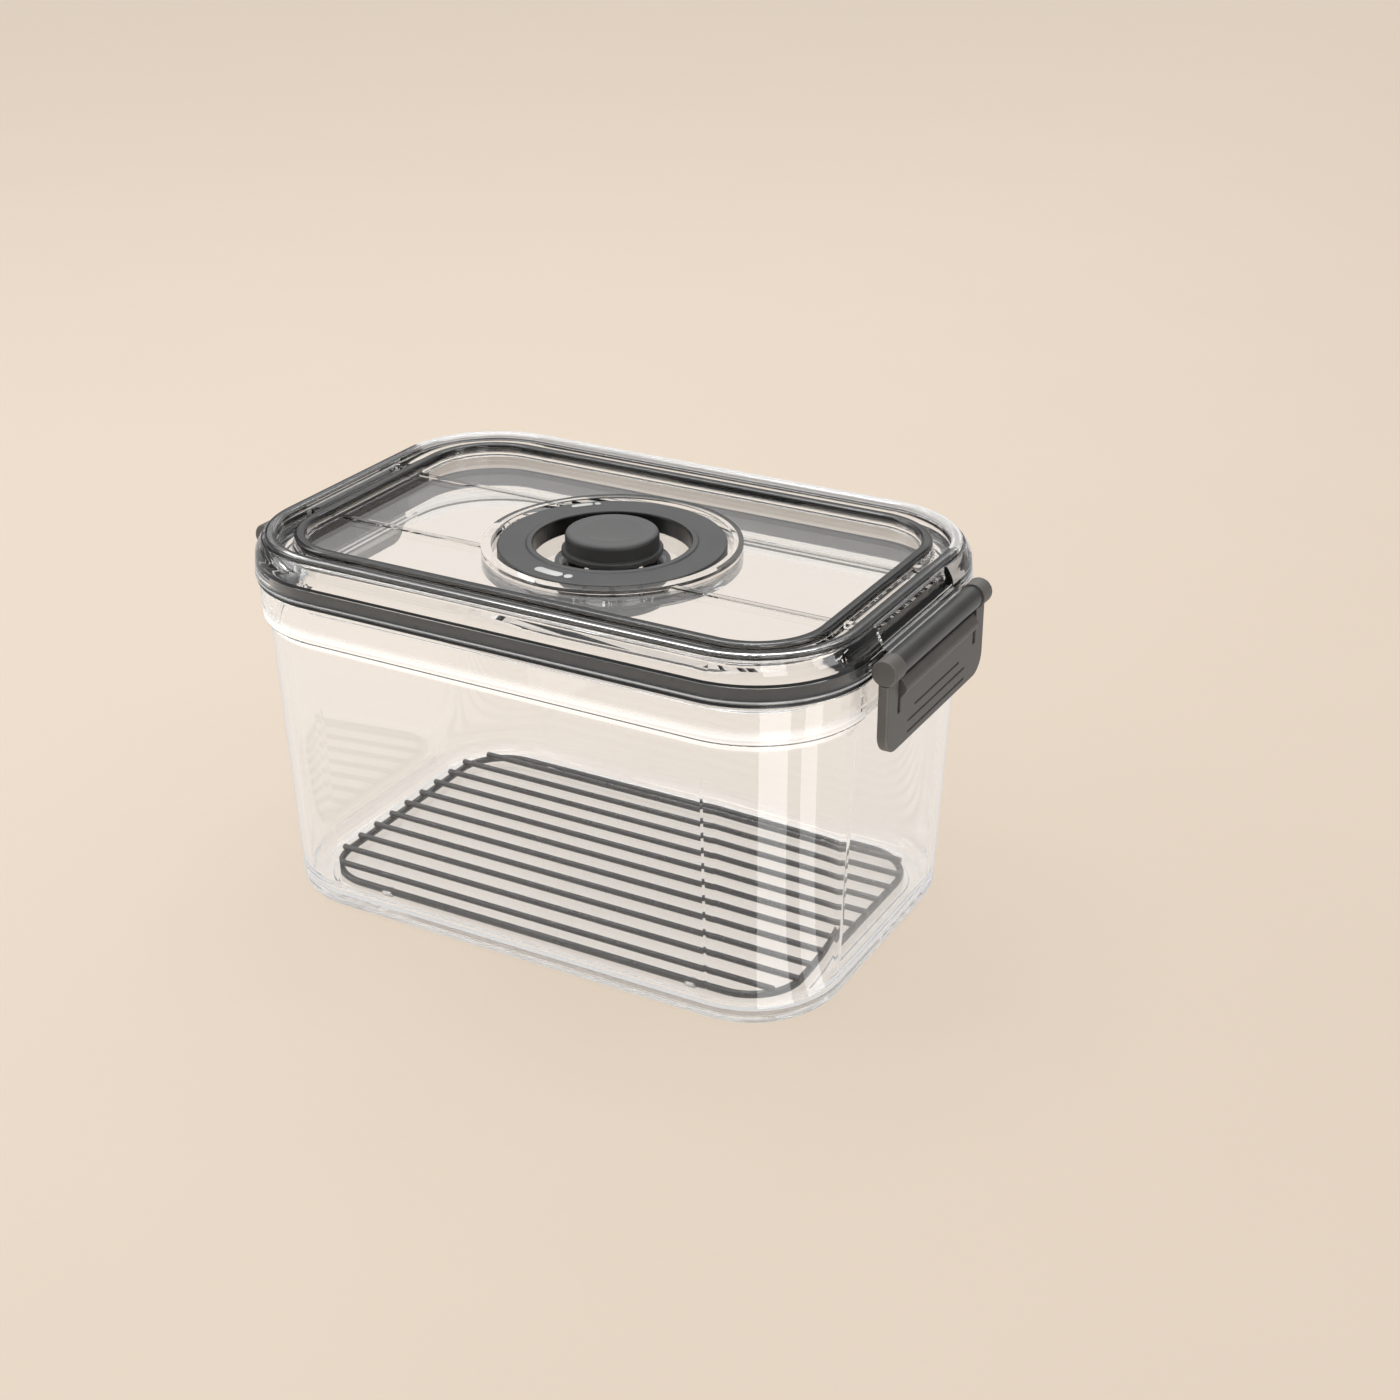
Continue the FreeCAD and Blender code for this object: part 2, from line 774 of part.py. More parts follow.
def rack_levels():
    """Height of the frame wire's centreline and of the bars that lie on it."""
    frame_z = box_floor + rack_clear_floor + rack_frame_wire / 2
    bar_z = frame_z + rack_frame_wire / 2 + rack_bar_wire / 2 - rack_weld
    return frame_z, bar_z


def rack_rows():
    """Number of bars on each side of the middle one."""
    half_y = rim_width / 2 - rack_inset
    return int((half_y - rack_bar_edge) / rack_bar_pitch)


def rack_frame(z):
    """Closed loop of wire under the ends of the bars."""
    pieces = []
    for edge in rim_path(-rack_inset).translated(vector(0, 0, z)).Edges:
        begin = edge.valueAt(edge.FirstParameter)
        direction = edge.tangentAt(edge.FirstParameter)
        if edge.Curve.TypeId == "Part::GeomLine":
            pieces.append(Part.makeCylinder(rack_frame_wire / 2, edge.Length, begin, direction))
        else:
            circle = Part.Wire(Part.Circle(begin, direction, rack_frame_wire / 2).toShape())
            centre = edge.Curve.Center
            turn = math.copysign(90, edge.Curve.Axis.z)
            pieces.append(Part.Face(circle).revolve(centre, vector(0, 0, 1), turn))
    return join(pieces)


def make_drain_rack():
    frame_z, bar_z = rack_levels()
    half_x = rim_length / 2 - rack_inset
    half_y = rim_width / 2 - rack_inset
    radius = rim_corner - rack_inset
    pieces = [rack_frame(frame_z)]
    for row in range(-rack_rows(), rack_rows() + 1):
        y = row * rack_bar_pitch
        into_corner = max(0.0, abs(y) - (half_y - radius))
        end_x = half_x - radius + math.sqrt(radius ** 2 - into_corner ** 2) + rack_bar_overhang
        start = vector(-end_x, y, bar_z)
        bar = Part.makeCylinder(rack_bar_wire / 2, 2 * end_x, start, vector(1, 0, 0))
        ends = [edge for edge in bar.Edges if edge.BoundBox.XLength < rack_bar_wire]
        pieces.append(bar.makeFillet(rack_bar_end_round, ends))
    return join(pieces)


def make_rack_feet(rack):
    """Four small clear feet that grip the frame's long sides and stand on the floor of the box."""
    y = rim_width / 2 - rack_inset
    x = rim_length / 2 - rim_corner - rack_foot_inset
    top = rack_levels()[0] + rack_foot_grip
    feet = []
    for side_x in (-1, 1):
        for side_y in (-1, 1):
            foot = turned([(0, box_floor, 0), (rack_foot_radius, box_floor, rack_foot_round),
                           (rack_foot_radius, top, rack_foot_round), (0, top, 0)])
            feet.append(foot.translated(vector(side_x * x, side_y * y, 0)).cut(rack))
    return Part.makeCompound(feet)


def write_all():
    os.makedirs("parts", exist_ok=True)
    rack = make_drain_rack()
    latch, pin, caps = make_latch(), make_latch_pin(), make_latch_caps()
    nodes = {
        "container_body": make_container_body(),
        "drain_rack": rack,
        "rack_feet": make_rack_feet(rack),
        "lid_shell": make_lid_shell(),
        "rim_strip_outer": make_rim_strip(0, lid_top),
        "rim_strip_inner": make_rim_strip(-rim_pitch, inner_rim_top),
        "lid_gasket": make_lid_gasket(),
        "latch_right": latch,
        "latch_right_pin": pin,
        "latch_right_caps": caps,
        "latch_left": half_turn(latch),
        "latch_left_pin": half_turn(pin),
        "latch_left_caps": half_turn(caps),
        "valve_ring": make_valve_ring(),
        "valve_button": make_valve_button(),
        "valve_plunger": make_valve_plunger(),
        "plunger_seal": make_plunger_seal(),
        "valve_spring": make_valve_spring(),
        "check_disc": make_check_disc(),
        "valve_guard": make_valve_guard(),
    }
    for name, shape in nodes.items():
        if not shape.isValid():
            raise ValueError(name + " is not a valid solid")
        print(name, len(shape.Solids), "solids", round(shape.Volume), "mm3")
        shape.exportStep("parts/" + name + ".step")


write_all()
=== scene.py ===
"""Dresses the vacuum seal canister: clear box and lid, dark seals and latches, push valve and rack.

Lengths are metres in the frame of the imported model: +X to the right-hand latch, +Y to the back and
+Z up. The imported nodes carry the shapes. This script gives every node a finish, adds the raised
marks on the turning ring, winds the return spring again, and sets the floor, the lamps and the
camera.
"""

import logging
import math
from abc import ABC, abstractmethod
from dataclasses import dataclass, field
from enum import Enum
from typing import Any, Callable, Iterator, Optional, Sequence, Union

import bmesh
import bpy
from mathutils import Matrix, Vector


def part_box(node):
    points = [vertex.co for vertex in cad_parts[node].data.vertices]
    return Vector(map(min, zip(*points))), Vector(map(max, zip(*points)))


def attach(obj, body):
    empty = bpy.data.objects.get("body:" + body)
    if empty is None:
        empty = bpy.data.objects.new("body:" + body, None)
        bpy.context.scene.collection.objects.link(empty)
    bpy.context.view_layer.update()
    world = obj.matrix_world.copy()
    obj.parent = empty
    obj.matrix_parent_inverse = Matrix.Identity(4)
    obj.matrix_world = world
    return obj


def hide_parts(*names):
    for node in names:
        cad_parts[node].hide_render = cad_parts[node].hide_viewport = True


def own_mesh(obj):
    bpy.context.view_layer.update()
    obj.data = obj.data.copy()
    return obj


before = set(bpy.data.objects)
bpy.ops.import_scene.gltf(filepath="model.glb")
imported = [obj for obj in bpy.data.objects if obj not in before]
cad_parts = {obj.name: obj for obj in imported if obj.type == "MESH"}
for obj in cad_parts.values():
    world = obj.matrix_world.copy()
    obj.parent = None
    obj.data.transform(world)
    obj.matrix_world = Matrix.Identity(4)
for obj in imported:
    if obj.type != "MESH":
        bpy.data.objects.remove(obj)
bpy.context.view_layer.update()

LOG = logging.getLogger("canister")
MM = 0.001
SHARP_ANGLE = math.radians(40.0)
NOISE_MIDDLE = 0.5

Colour = tuple[float, float, float]
Point = tuple[float, float, float]
Plan = tuple[float, float]
Span = tuple[float, float]
Operand = Union["Value", float]
Tone = Union["Value", Colour]
SocketKey = Union[int, str]

# Sockets of a Mix node that mixes colours.
MIX_FACTOR, MIX_FIRST, MIX_SECOND, MIX_RESULT = 0, 6, 7, 2


class Value:
    """A shader socket that takes part in Python arithmetic."""

    def __init__(self, graph: "ShaderGraph", socket: bpy.types.NodeSocket) -> None:
        """Keeps the socket and the graph that new nodes go into."""
        self.graph = graph
        self.socket = socket

    def _math(self, operation: str, first: Operand, second: Operand) -> "Value":
        """Adds one Math node for two operands."""
        return self.graph.node("ShaderNodeMath", {"operation": operation}, {0: first, 1: second})

    def __add__(self, other: Operand) -> "Value":
        """Sum of two values."""
        return self._math("ADD", self, other)

    def __radd__(self, other: float) -> "Value":
        """Sum with a number on the left."""
        return self._math("ADD", other, self)

    def __sub__(self, other: Operand) -> "Value":
        """Difference of two values."""
        return self._math("SUBTRACT", self, other)

    def __rsub__(self, other: float) -> "Value":
        """Difference with a number on the left."""
        return self._math("SUBTRACT", other, self)

    def __mul__(self, other: Operand) -> "Value":
        """Product of two values."""
        return self._math("MULTIPLY", self, other)

    def __rmul__(self, other: float) -> "Value":
        """Product with a number on the left."""
        return self._math("MULTIPLY", other, self)

    def at_least(self, limit: Operand) -> "Value":
        """The larger of two values."""
        return self._math("MAXIMUM", self, limit)

    def between(self, low: float, high: float) -> "Value":
        """Stretches the span from low to high over 0 to 1, with smooth ends.

        Args:
            low: the value that becomes 0.
            high: the value that becomes 1.

        Returns:
            A value held within 0 and 1.
        """
        settings = {"interpolation_type": "SMOOTHSTEP"}
        inputs = {"Value": self, "From Min": low, "From Max": high}
        return self.graph.node("ShaderNodeMapRange", settings, inputs)

    def beside(self, output: str) -> "Value":
        """Another output of the same node."""
        return Value(self.graph, self.socket.node.outputs[output])


class ShaderGraph:
    """The node tree of one material or of the world."""

    edge_samples: int = 6
    edge_turn: Span = (0.01, 0.12)

    def __init__(self, tree: bpy.types.NodeTree,
                 output_kind: str = "ShaderNodeOutputMaterial") -> None:
        """Empties a tree and gives it a fresh output node.

        Args:
            tree: the node tree to fill.
            output_kind: type of the output node.
        """
        self.tree = tree
        tree.nodes.clear()
        self.output = tree.nodes.new(output_kind)

    def node(self, kind: str, settings: Optional[dict[str, Any]] = None,
             inputs: Optional[dict[SocketKey, Any]] = None, output: SocketKey = 0) -> Value:
        """Adds a node.

        Args:
            kind: the node's type.
            settings: the node's own properties, which are set first.
            inputs: values or links of its input sockets, by name or index.
            output: name or index of the output to return.

        Returns:
            The chosen output.
        """
        made = self.tree.nodes.new(kind)
        for name, setting in (settings or {}).items():
            setattr(made, name, setting)
        for key, given in (inputs or {}).items():
            socket = made.inputs[key]
            if isinstance(given, Value):
                self.tree.links.new(given.socket, socket)
            elif socket.type == "RGBA":
                socket.default_value = (*given, 1.0)
            else:
                socket.default_value = given
        return Value(self, made.outputs[output])

    def place(self) -> Value:
        """Position on the object in the frame's metres."""
        return self.node("ShaderNodeTexCoord", output="Object")

    def noise(self, size: float, detail: float = 2.0, stretch: Optional[Point] = None) -> Value:
        """Soft random pattern.

        Args:
            size: length of one feature, in metres.
            detail: number of finer layers.
            stretch: scale along each axis, or None for an even pattern.

        Returns:
            A value around one half.
        """
        place = self.place()
        if stretch is not None:
            place = self.node("ShaderNodeMapping", inputs={"Vector": place, "Scale": stretch})
        inputs = {"Vector": place, "Scale": 1.0 / size, "Detail": detail}
        return self.node("ShaderNodeTexNoise", inputs=inputs)

    def blend(self, factor: Operand, first: Tone, second: Tone) -> Value:
        """Mixes two colours.

        Args:
            factor: 0 for the first colour, 1 for the second.
            first: colour at 0.
            second: colour at 1.

        Returns:
            The mixed colour.
        """
        inputs = {MIX_FACTOR: factor, MIX_FIRST: first, MIX_SECOND: second}
        return self.node("ShaderNodeMix", {"data_type": "RGBA"}, inputs, MIX_RESULT)

    def bump(self, height: Value, depth: float, normal: Optional[Value] = None) -> Value:
        """Turns a height pattern into a normal.

        Args:
            height: pattern between 0 and 1.
            depth: height of the pattern in metres.
            normal: normal to start from, or None for the surface's own.

        Returns:
            The bumped normal.
        """
        inputs: dict[SocketKey, Any] = {"Height": height, "Distance": depth}
        if normal is not None:
            inputs["Normal"] = normal
        return self.node("ShaderNodeBump", inputs=inputs)

    def soft_edge(self, radius: float) -> tuple[Value, Value]:
        """Rounds edges in the shading.

        Args:
            radius: radius of the rounding, in metres.

        Returns:
            The rounded normal, and a mask that is 1 along the edges.
        """
        rounded = self.node("ShaderNodeBevel", {"samples": self.edge_samples}, {"Radius": radius})
        flat = self.node("ShaderNodeNewGeometry", output="Normal")
        settings = {"operation": "DOT_PRODUCT"}
        along = self.node("ShaderNodeVectorMath", settings, {0: rounded, 1: flat}, "Value")
        return rounded, (1.0 - along).between(*self.edge_turn)

    def principled(self, **inputs: Any) -> Value:
        """Adds a Principled shader, with sockets named in words joined by underscores."""
        named = {name.replace("_", " "): given for name, given in inputs.items()}
        return self.node("ShaderNodeBsdfPrincipled", inputs=named)

    def mix_shaders(self, factor: Value, first: Value, second: Value) -> Value:
        """Mixes two shaders by a factor."""
        return self.node("ShaderNodeMixShader", inputs={0: factor, 1: first, 2: second})

    def finish(self, shader: Value) -> None:
        """Links a shader to the output."""
        self.tree.links.new(shader.socket, self.output.inputs["Surface"])


@dataclass(frozen=True)
class Finish(ABC):
    """Something that a surface is made of."""

    name: str

    @abstractmethod
    def shade(self, graph: ShaderGraph) -> Value:
        """Builds the finish's nodes and returns its shader."""

    def material(self) -> bpy.types.Material:
        """Gives the finish's material, which is made on first use.

        Returns:
            The material.
        """
        known = bpy.data.materials.get(self.name)
        if known is not None:
            return known
        made = bpy.data.materials.new(self.name)
        made.use_nodes = True
        graph = ShaderGraph(made.node_tree)
        graph.finish(self.shade(graph))
        return made


class Measure(Enum):
    """What a band's limits are measured along."""

    HEIGHT = "height"
    REACH = "reach from the valve's axis"


@dataclass(frozen=True)
class PaintedLightBand:
    """A stretch of a clear moulding with painted light: white and glowing as a painted highlight, or
    dark as painted shade.

    It is full from low to high, fades over the lengths beside them, and covers by its weight.
    """

    low: float
    high: float
    fade_below: float
    fade_above: float
    weight: float
    colour: Colour = (0.97, 0.965, 0.955)
    # glow: emission of a painted highlight, where there is no lamp
    glow: float = 0.3
    measure: Measure = Measure.HEIGHT

    def mask(self, graph: ShaderGraph) -> Value:
        """Share of the band's colour over the surface.

        Args:
            graph: the node tree to add to.

        Returns:
            A value that is the weight inside the band and 0 far from it.
        """
        place = graph.place()
        if self.measure is Measure.HEIGHT:
            along = graph.node("ShaderNodeSeparateXYZ", inputs={"Vector": place}, output="Z")
        else:
            flat = graph.node("ShaderNodeVectorMath", {"operation": "MULTIPLY"},
                              {0: place, 1: (1.0, 1.0, 0.0)})
            along = graph.node("ShaderNodeVectorMath", {"operation": "LENGTH"}, {0: flat}, "Value")
        rising = along.between(self.low - self.fade_below, self.low)
        return rising * (1.0 - along.between(self.high, self.high + self.fade_above)) * self.weight


@dataclass(frozen=True)
class ClearPlastic(Finish):
    """Polished clear moulding that lets the lamps' light through."""

    tint: Colour = (0.995, 0.997, 1.0)
    smudge_tint: Colour = (0.985, 0.985, 0.985)
    transmission: float = 1.0
    ior: float = 1.5
    roughness: float = 0.0
    smudge: float = 0.02
    smudge_size: float = 0.05
    smudge_span: Span = (0.5, 0.8)
    shadow_tint: Colour = (0.965, 0.962, 0.955)
    painted_bands: tuple[PaintedLightBand, ...] = ()
    band_roughness: float = 0.25
    band_smudge: float = 0.1

    def shade(self, graph: ShaderGraph) -> Value:
        """Clear shader with smudges and painted light bands, which shadow and diffuse rays pass
        straight.

        Args:
            graph: the node tree to add to.

        Returns:
            The finish's shader.
        """
        smudges = graph.noise(self.smudge_size, detail=3.0).between(*self.smudge_span)
        shader = graph.principled(
            Base_Color=graph.blend(smudges, self.tint, self.smudge_tint),
            Roughness=self.roughness + self.smudge * smudges,
            IOR=self.ior,
            Transmission_Weight=self.transmission,
        )
        # Each band mixes a painted highlight or painted shade over the clear shader.
        for band in self.painted_bands:
            painted_light = graph.principled(
                Base_Color=band.colour,
                Roughness=self.band_roughness + self.band_smudge * smudges,
                Emission_Color=band.colour,
                Emission_Strength=band.glow,
            )
            shader = graph.mix_shaders(band.mask(graph), shader, painted_light)
        open_way = graph.node("ShaderNodeBsdfTransparent", inputs={"Color": self.shadow_tint})
        shadow = graph.node("ShaderNodeLightPath", output="Is Shadow Ray")
        return graph.mix_shaders(shadow.at_least(shadow.beside("Is Diffuse Ray")), shader, open_way)


@dataclass(frozen=True)
class MouldedPlastic(Finish):
    """Opaque moulding with a fine eroded grain and paler edges."""

    colour: Colour = (0.105, 0.098, 0.09)
    cloud_colour: Colour = (0.118, 0.111, 0.103)
    edge_colour: Colour = (0.18, 0.172, 0.162)
    edge_radius: float = 0.0005
    edge_wear: float = 0.55
    roughness: float = 0.46
    roughness_spread: float = 0.12
    specular: float = 0.5
    grain_size: float = 0.0005
    grain_depth: float = 0.00003
    cloud_size: float = 0.012
    cloud_span: Span = (0.35, 0.7)
    wear_size: float = 0.004
    wear_span: Span = (0.3, 0.65)
    wear_polish: float = 0.08

    def shade(self, graph: ShaderGraph) -> Value:
        """Opaque shader with clouded colour, worn edges and grain.

        Args:
            graph: the node tree to add to.

        Returns:
            The finish's shader.
        """
        rounded, edge = graph.soft_edge(self.edge_radius)
        cloud = graph.noise(self.cloud_size, detail=3.0)
        grain = graph.noise(self.grain_size)
        rubbed = edge * graph.noise(self.wear_size).between(*self.wear_span) * self.edge_wear
        body = graph.blend(cloud.between(*self.cloud_span), self.colour, self.cloud_colour)
        spread = self.roughness_spread * (cloud - NOISE_MIDDLE)
        return graph.principled(
            Base_Color=graph.blend(rubbed, body, self.edge_colour),
            Roughness=self.roughness + spread - self.wear_polish * rubbed,
            Specular_IOR_Level=self.specular,
            Normal=graph.bump(grain, self.grain_depth, rounded),
        )


@dataclass(frozen=True)
class Silicone(Finish):
    """Soft satin moulding that gathers a little dust."""

    colour: Colour = (0.04, 0.04, 0.04)
    bloom_colour: Colour = (0.07, 0.07, 0.069)
    dust_colour: Colour = (0.22, 0.21, 0.2)
    edge_radius: float = 0.0006
    roughness: float = 0.42
    sheen: float = 0.15
    sheen_roughness: float = 0.4
    dust: float = 0.25
    bloom_size: float = 0.02
    bloom_span: Span = (0.35, 0.75)
    bloom_dulling: float = 0.12
    speck_size: float = 0.0011
    speck_span: Span = (0.66, 0.76)
    speck_dulling: float = 0.3
    edge_polish: float = 0.05
    grain_size: float = 0.0007
    grain_depth: float = 0.00002

    def shade(self, graph: ShaderGraph) -> Value:
        """Opaque shader with a dull bloom and specks of dust.

        Args:
            graph: the node tree to add to.

        Returns:
            The finish's shader.
        """
        rounded, edge = graph.soft_edge(self.edge_radius)
        bloom = graph.noise(self.bloom_size, detail=3.0).between(*self.bloom_span)
        specks = graph.noise(self.speck_size).between(*self.speck_span) * self.dust
        body = graph.blend(bloom, self.colour, self.bloom_colour)
        dulling = self.bloom_dulling * bloom + self.speck_dulling * specks
        return graph.principled(
            Base_Color=graph.blend(specks, body, self.dust_colour),
            Roughness=self.roughness + dulling - self.edge_polish * edge,
            Sheen_Weight=self.sheen,
            Sheen_Roughness=self.sheen_roughness,
            Normal=graph.bump(graph.noise(self.grain_size), self.grain_depth, rounded),
        )


@dataclass(frozen=True)
class CoatedWire(Finish):
    """Wire under a satin dark coat with a slight orange peel."""

    colour: Colour = (0.006, 0.006, 0.0062)
    thin_colour: Colour = (0.013, 0.0128, 0.0125)
    roughness: float = 0.27
    coat: float = 0.3
    coat_roughness: float = 0.12
    thin_size: float = 0.009
    thin_span: Span = (0.4, 0.75)
    thin_dulling: float = 0.14
    thin_loss: float = 0.2
    peel_size: float = 0.0016
    peel_depth: float = 0.00006

    def shade(self, graph: ShaderGraph) -> Value:
        """Coated shader whose coat thins here and there.

        Args:
            graph: the node tree to add to.

        Returns:
            The finish's shader.
        """
        thin = graph.noise(self.thin_size, detail=3.0).between(*self.thin_span)
        return graph.principled(
            Base_Color=graph.blend(thin, self.colour, self.thin_colour),
            Roughness=self.roughness + self.thin_dulling * thin,
            Coat_Weight=self.coat - self.thin_loss * thin,
            Coat_Roughness=self.coat_roughness,
            Normal=graph.bump(graph.noise(self.peel_size), self.peel_depth),
        )


@dataclass(frozen=True)
class DrawnSteel(Finish):
    """Bare drawn wire with fine marks along it."""

    colour: Colour = (0.56, 0.56, 0.55)
    dull_colour: Colour = (0.4, 0.4, 0.39)
    roughness: float = 0.28
    roughness_spread: float = 0.2
    mark_size: float = 0.0015
    mark_stretch: Point = (1.0, 1.0, 6.0)
    mark_span: Span = (0.35, 0.7)
    mark_depth: float = 0.00003

    def shade(self, graph: ShaderGraph) -> Value:
        """Metal shader with drawing marks.

        Args:
            graph: the node tree to add to.

        Returns:
            The finish's shader.
        """
        marks = graph.noise(self.mark_size, 3.0, self.mark_stretch)
        return graph.principled(
            Base_Color=graph.blend(marks.between(*self.mark_span), self.colour, self.dull_colour),
            Metallic=1.0,
            Roughness=self.roughness + self.roughness_spread * (marks - NOISE_MIDDLE),
            Normal=graph.bump(marks, self.mark_depth),
        )


@dataclass(frozen=True)
class FloorPaper(Finish):
    """Warm paper that keeps its tone before the camera and still takes shadows."""

    lit_colour: Colour = (0.795, 0.68, 0.567)
    painted_shade_colour: Colour = (0.75, 0.632, 0.52)
    painted_veil_colour: Colour = (0.875, 0.806, 0.737)
    glow: float = 0.7
    slope: Span = (-0.35, 0.45)
    mottle: float = 0.12
    mottle_size: float = 0.09
    mottle_span: Span = (0.2, 0.8)
    roughness: float = 0.85
    specular: float = 0.15
    fibre_size: float = 0.002
    fibre_depth: float = 0.00005
    fibre_dulling: float = 0.1

    def shade(self, graph: ShaderGraph) -> Value:
        """Paper with painted shade that darkens it to the right, part glow for the camera, and
        painted light that makes it paler through the glass.

        Args:
            graph: the node tree to add to.

        Returns:
            The finish's shader.
        """
        across = graph.node("ShaderNodeSeparateXYZ", inputs={"Vector": graph.place()}, output="X")
        blotches = graph.noise(self.mottle_size, detail=4.0).between(*self.mottle_span)
        # Painted shade: the paper darkens across X towards the right, mixed with random mottle.
        painted_shade_and_mottle = across.between(*self.slope) + blotches * self.mottle
        tone = graph.blend(painted_shade_and_mottle, self.lit_colour, self.painted_shade_colour)
        fibre = graph.noise(self.fibre_size, detail=3.0)
        paper = graph.principled(
            Base_Color=tone,
            Roughness=self.roughness + self.fibre_dulling * fibre,
            Specular_IOR_Level=self.specular,
            Normal=graph.bump(fibre, self.fibre_depth),
        )
        camera = graph.node("ShaderNodeLightPath", output="Is Camera Ray")
        through = camera.beside("Is Transmission Ray")
        # Painted light: seen through the glass, the glow is paler than the paper.
        glow_and_painted_veil = graph.blend(through, tone, self.painted_veil_colour)
        glowing = graph.node("ShaderNodeEmission", inputs={"Color": glow_and_painted_veil})
        seen = camera.at_least(camera.beside("Is Glossy Ray")).at_least(through)
        return graph.mix_shaders(seen * self.glow, paper, glowing)


@dataclass(frozen=True)
class CardGlow(Finish):
    """White glow of a reflector card."""

    strength: float
    bright_colour: Colour = (1.0, 1.0, 1.0)
    dim_colour: Colour = (0.9, 0.9, 0.9)
    cloud_size: float = 0.05

    def shade(self, graph: ShaderGraph) -> Value:
        """Plain emission with faint clouds over the card.

        Args:
            graph: the node tree to add to.

        Returns:
            The finish's shader.
        """
        cloud = graph.noise(self.cloud_size, detail=1.0)
        colour = graph.blend(cloud, self.bright_colour, self.dim_colour)
        return graph.node("ShaderNodeEmission", inputs={"Color": colour, "Strength": self.strength})


# Painted highlight: a pale glowing band round the foot of the box.
BASE_PAINTED_HIGHLIGHT = PaintedLightBand(2.0 * MM, 5.5 * MM, 1.0 * MM, 2.5 * MM, 0.12, (0.9, 0.89, 0.88), 0.3)
# Painted highlights: two white glowing bands along the collar's lower edge; painted shade: a thin
# dark line between them.
BOX_PLASTIC = ClearPlastic("finish_box_plastic", painted_bands=(
    BASE_PAINTED_HIGHLIGHT,
    PaintedLightBand(107.3 * MM, 108.4 * MM, 0.1 * MM, 3.0 * MM, 0.78, glow=0.4),
    PaintedLightBand(104.2 * MM, 105.6 * MM, 0.7 * MM, 0.2 * MM, 0.72, glow=0.4),
    PaintedLightBand(106.4 * MM, 107.05 * MM, 0.1 * MM, 0.1 * MM, 0.85, (0.03, 0.029, 0.028), 0.0),
))
# On the end walls the collar's painted highlights are weaker, as painted shade of the latches.
BOX_END_PLASTIC = ClearPlastic("finish_box_end_plastic", painted_bands=(
    BASE_PAINTED_HIGHLIGHT,
    PaintedLightBand(107.4 * MM, 108.1 * MM, 0.1 * MM, 0.3 * MM, 0.6, glow=0.4),
    PaintedLightBand(104.6 * MM, 105.5 * MM, 0.3 * MM, 0.2 * MM, 0.25, glow=0.4),
))
# Painted highlight: a thin white glowing line along the lid's lower edge.
LID_PLASTIC = ClearPlastic("finish_lid_plastic", painted_bands=(
    PaintedLightBand(121.3 * MM, 121.45 * MM, 0.1 * MM, 0.15 * MM, 0.45),
))
# Painted shade: a dark band low on the plug wall; painted light: a pale glowing band above it.
PLUG_PLASTIC = ClearPlastic("finish_plug_plastic", shadow_tint=(0.4, 0.4, 0.4), painted_bands=(
    PaintedLightBand(114.9 * MM, 121.4 * MM, 0.3 * MM, 0.3 * MM, 0.88, (0.02, 0.02, 0.02), 0.0),
    PaintedLightBand(122.1 * MM, 127.8 * MM, 0.3 * MM, 0.1 * MM, 0.75, (0.86, 0.8, 0.74), 0.35),
))
# Painted shade of the latch: the plug wall at each end is dark over its full height.
PLUG_END_PLASTIC = ClearPlastic("finish_plug_end_plastic", shadow_tint=(0.4, 0.4, 0.4), painted_bands=(
    PaintedLightBand(114.9 * MM, 127.8 * MM, 0.3 * MM, 0.1 * MM, 0.88, (0.02, 0.02, 0.02), 0.0),
))
# Painted shade: a grey tint on the clear outer wall of the valve well.
WELL_PLASTIC = ClearPlastic(
    "finish_well_plastic", (0.3, 0.297, 0.293), (0.26, 0.257, 0.253), shadow_tint=(0.6, 0.6, 0.6))
# Painted shade: a dark ring on the bezel's outer edge, left off at the front.
BEZEL_PLASTIC = ClearPlastic("finish_bezel_plastic", painted_bands=(
    PaintedLightBand(43.4 * MM, 45.3 * MM, 0.3 * MM, 0.1 * MM, 0.9, (0.012, 0.012, 0.012), 0.0, Measure.REACH),
))
# Painted shade: a grey tint on the panel's clear beads.
BEAD_PLASTIC = ClearPlastic("finish_bead_plastic", (0.66, 0.65, 0.64), (0.6, 0.59, 0.58))
CLEAR_SILICONE = ClearPlastic("finish_clear_silicone", transmission=0.85, roughness=0.12, ior=1.42)
OUTER_STRIP = ClearPlastic(
    "finish_outer_strip", (0.85, 0.845, 0.84), (0.8, 0.795, 0.79), shadow_tint=(0.6, 0.6, 0.6))
# Painted highlight: a pale glowing band along the back of the outer strip.
STRIP_BACK_PAINTED_HIGHLIGHT = ClearPlastic("finish_strip_back", shadow_tint=(0.6, 0.6, 0.6), painted_bands=(
    PaintedLightBand(134.0 * MM, 137.0 * MM, 0.1 * MM, 0.1 * MM, 0.36, (0.78, 0.765, 0.75), 0.25),
))
# Painted shade: the outer side of the outer strip is dark, but not at the back.
STRIP_EDGE_PAINTED_SHADE = ClearPlastic(
    "finish_strip_edge", (0.03, 0.03, 0.03), (0.025, 0.025, 0.025), shadow_tint=(0.3, 0.3, 0.3))
INNER_STRIP = ClearPlastic(
    "finish_inner_strip", (0.1, 0.099, 0.097), (0.08, 0.079, 0.077), shadow_tint=(0.3, 0.3, 0.3))
LATCH_PLASTIC = MouldedPlastic("finish_latch_plastic")
BARREL_PLASTIC = MouldedPlastic(
    "finish_barrel_plastic", (0.045, 0.044, 0.042), (0.052, 0.051, 0.049), (0.08, 0.078, 0.075),
    roughness=0.3)
PIN_PLASTIC = MouldedPlastic(
    "finish_pin_plastic", (0.05, 0.049, 0.047), (0.06, 0.058, 0.055), roughness=0.35)
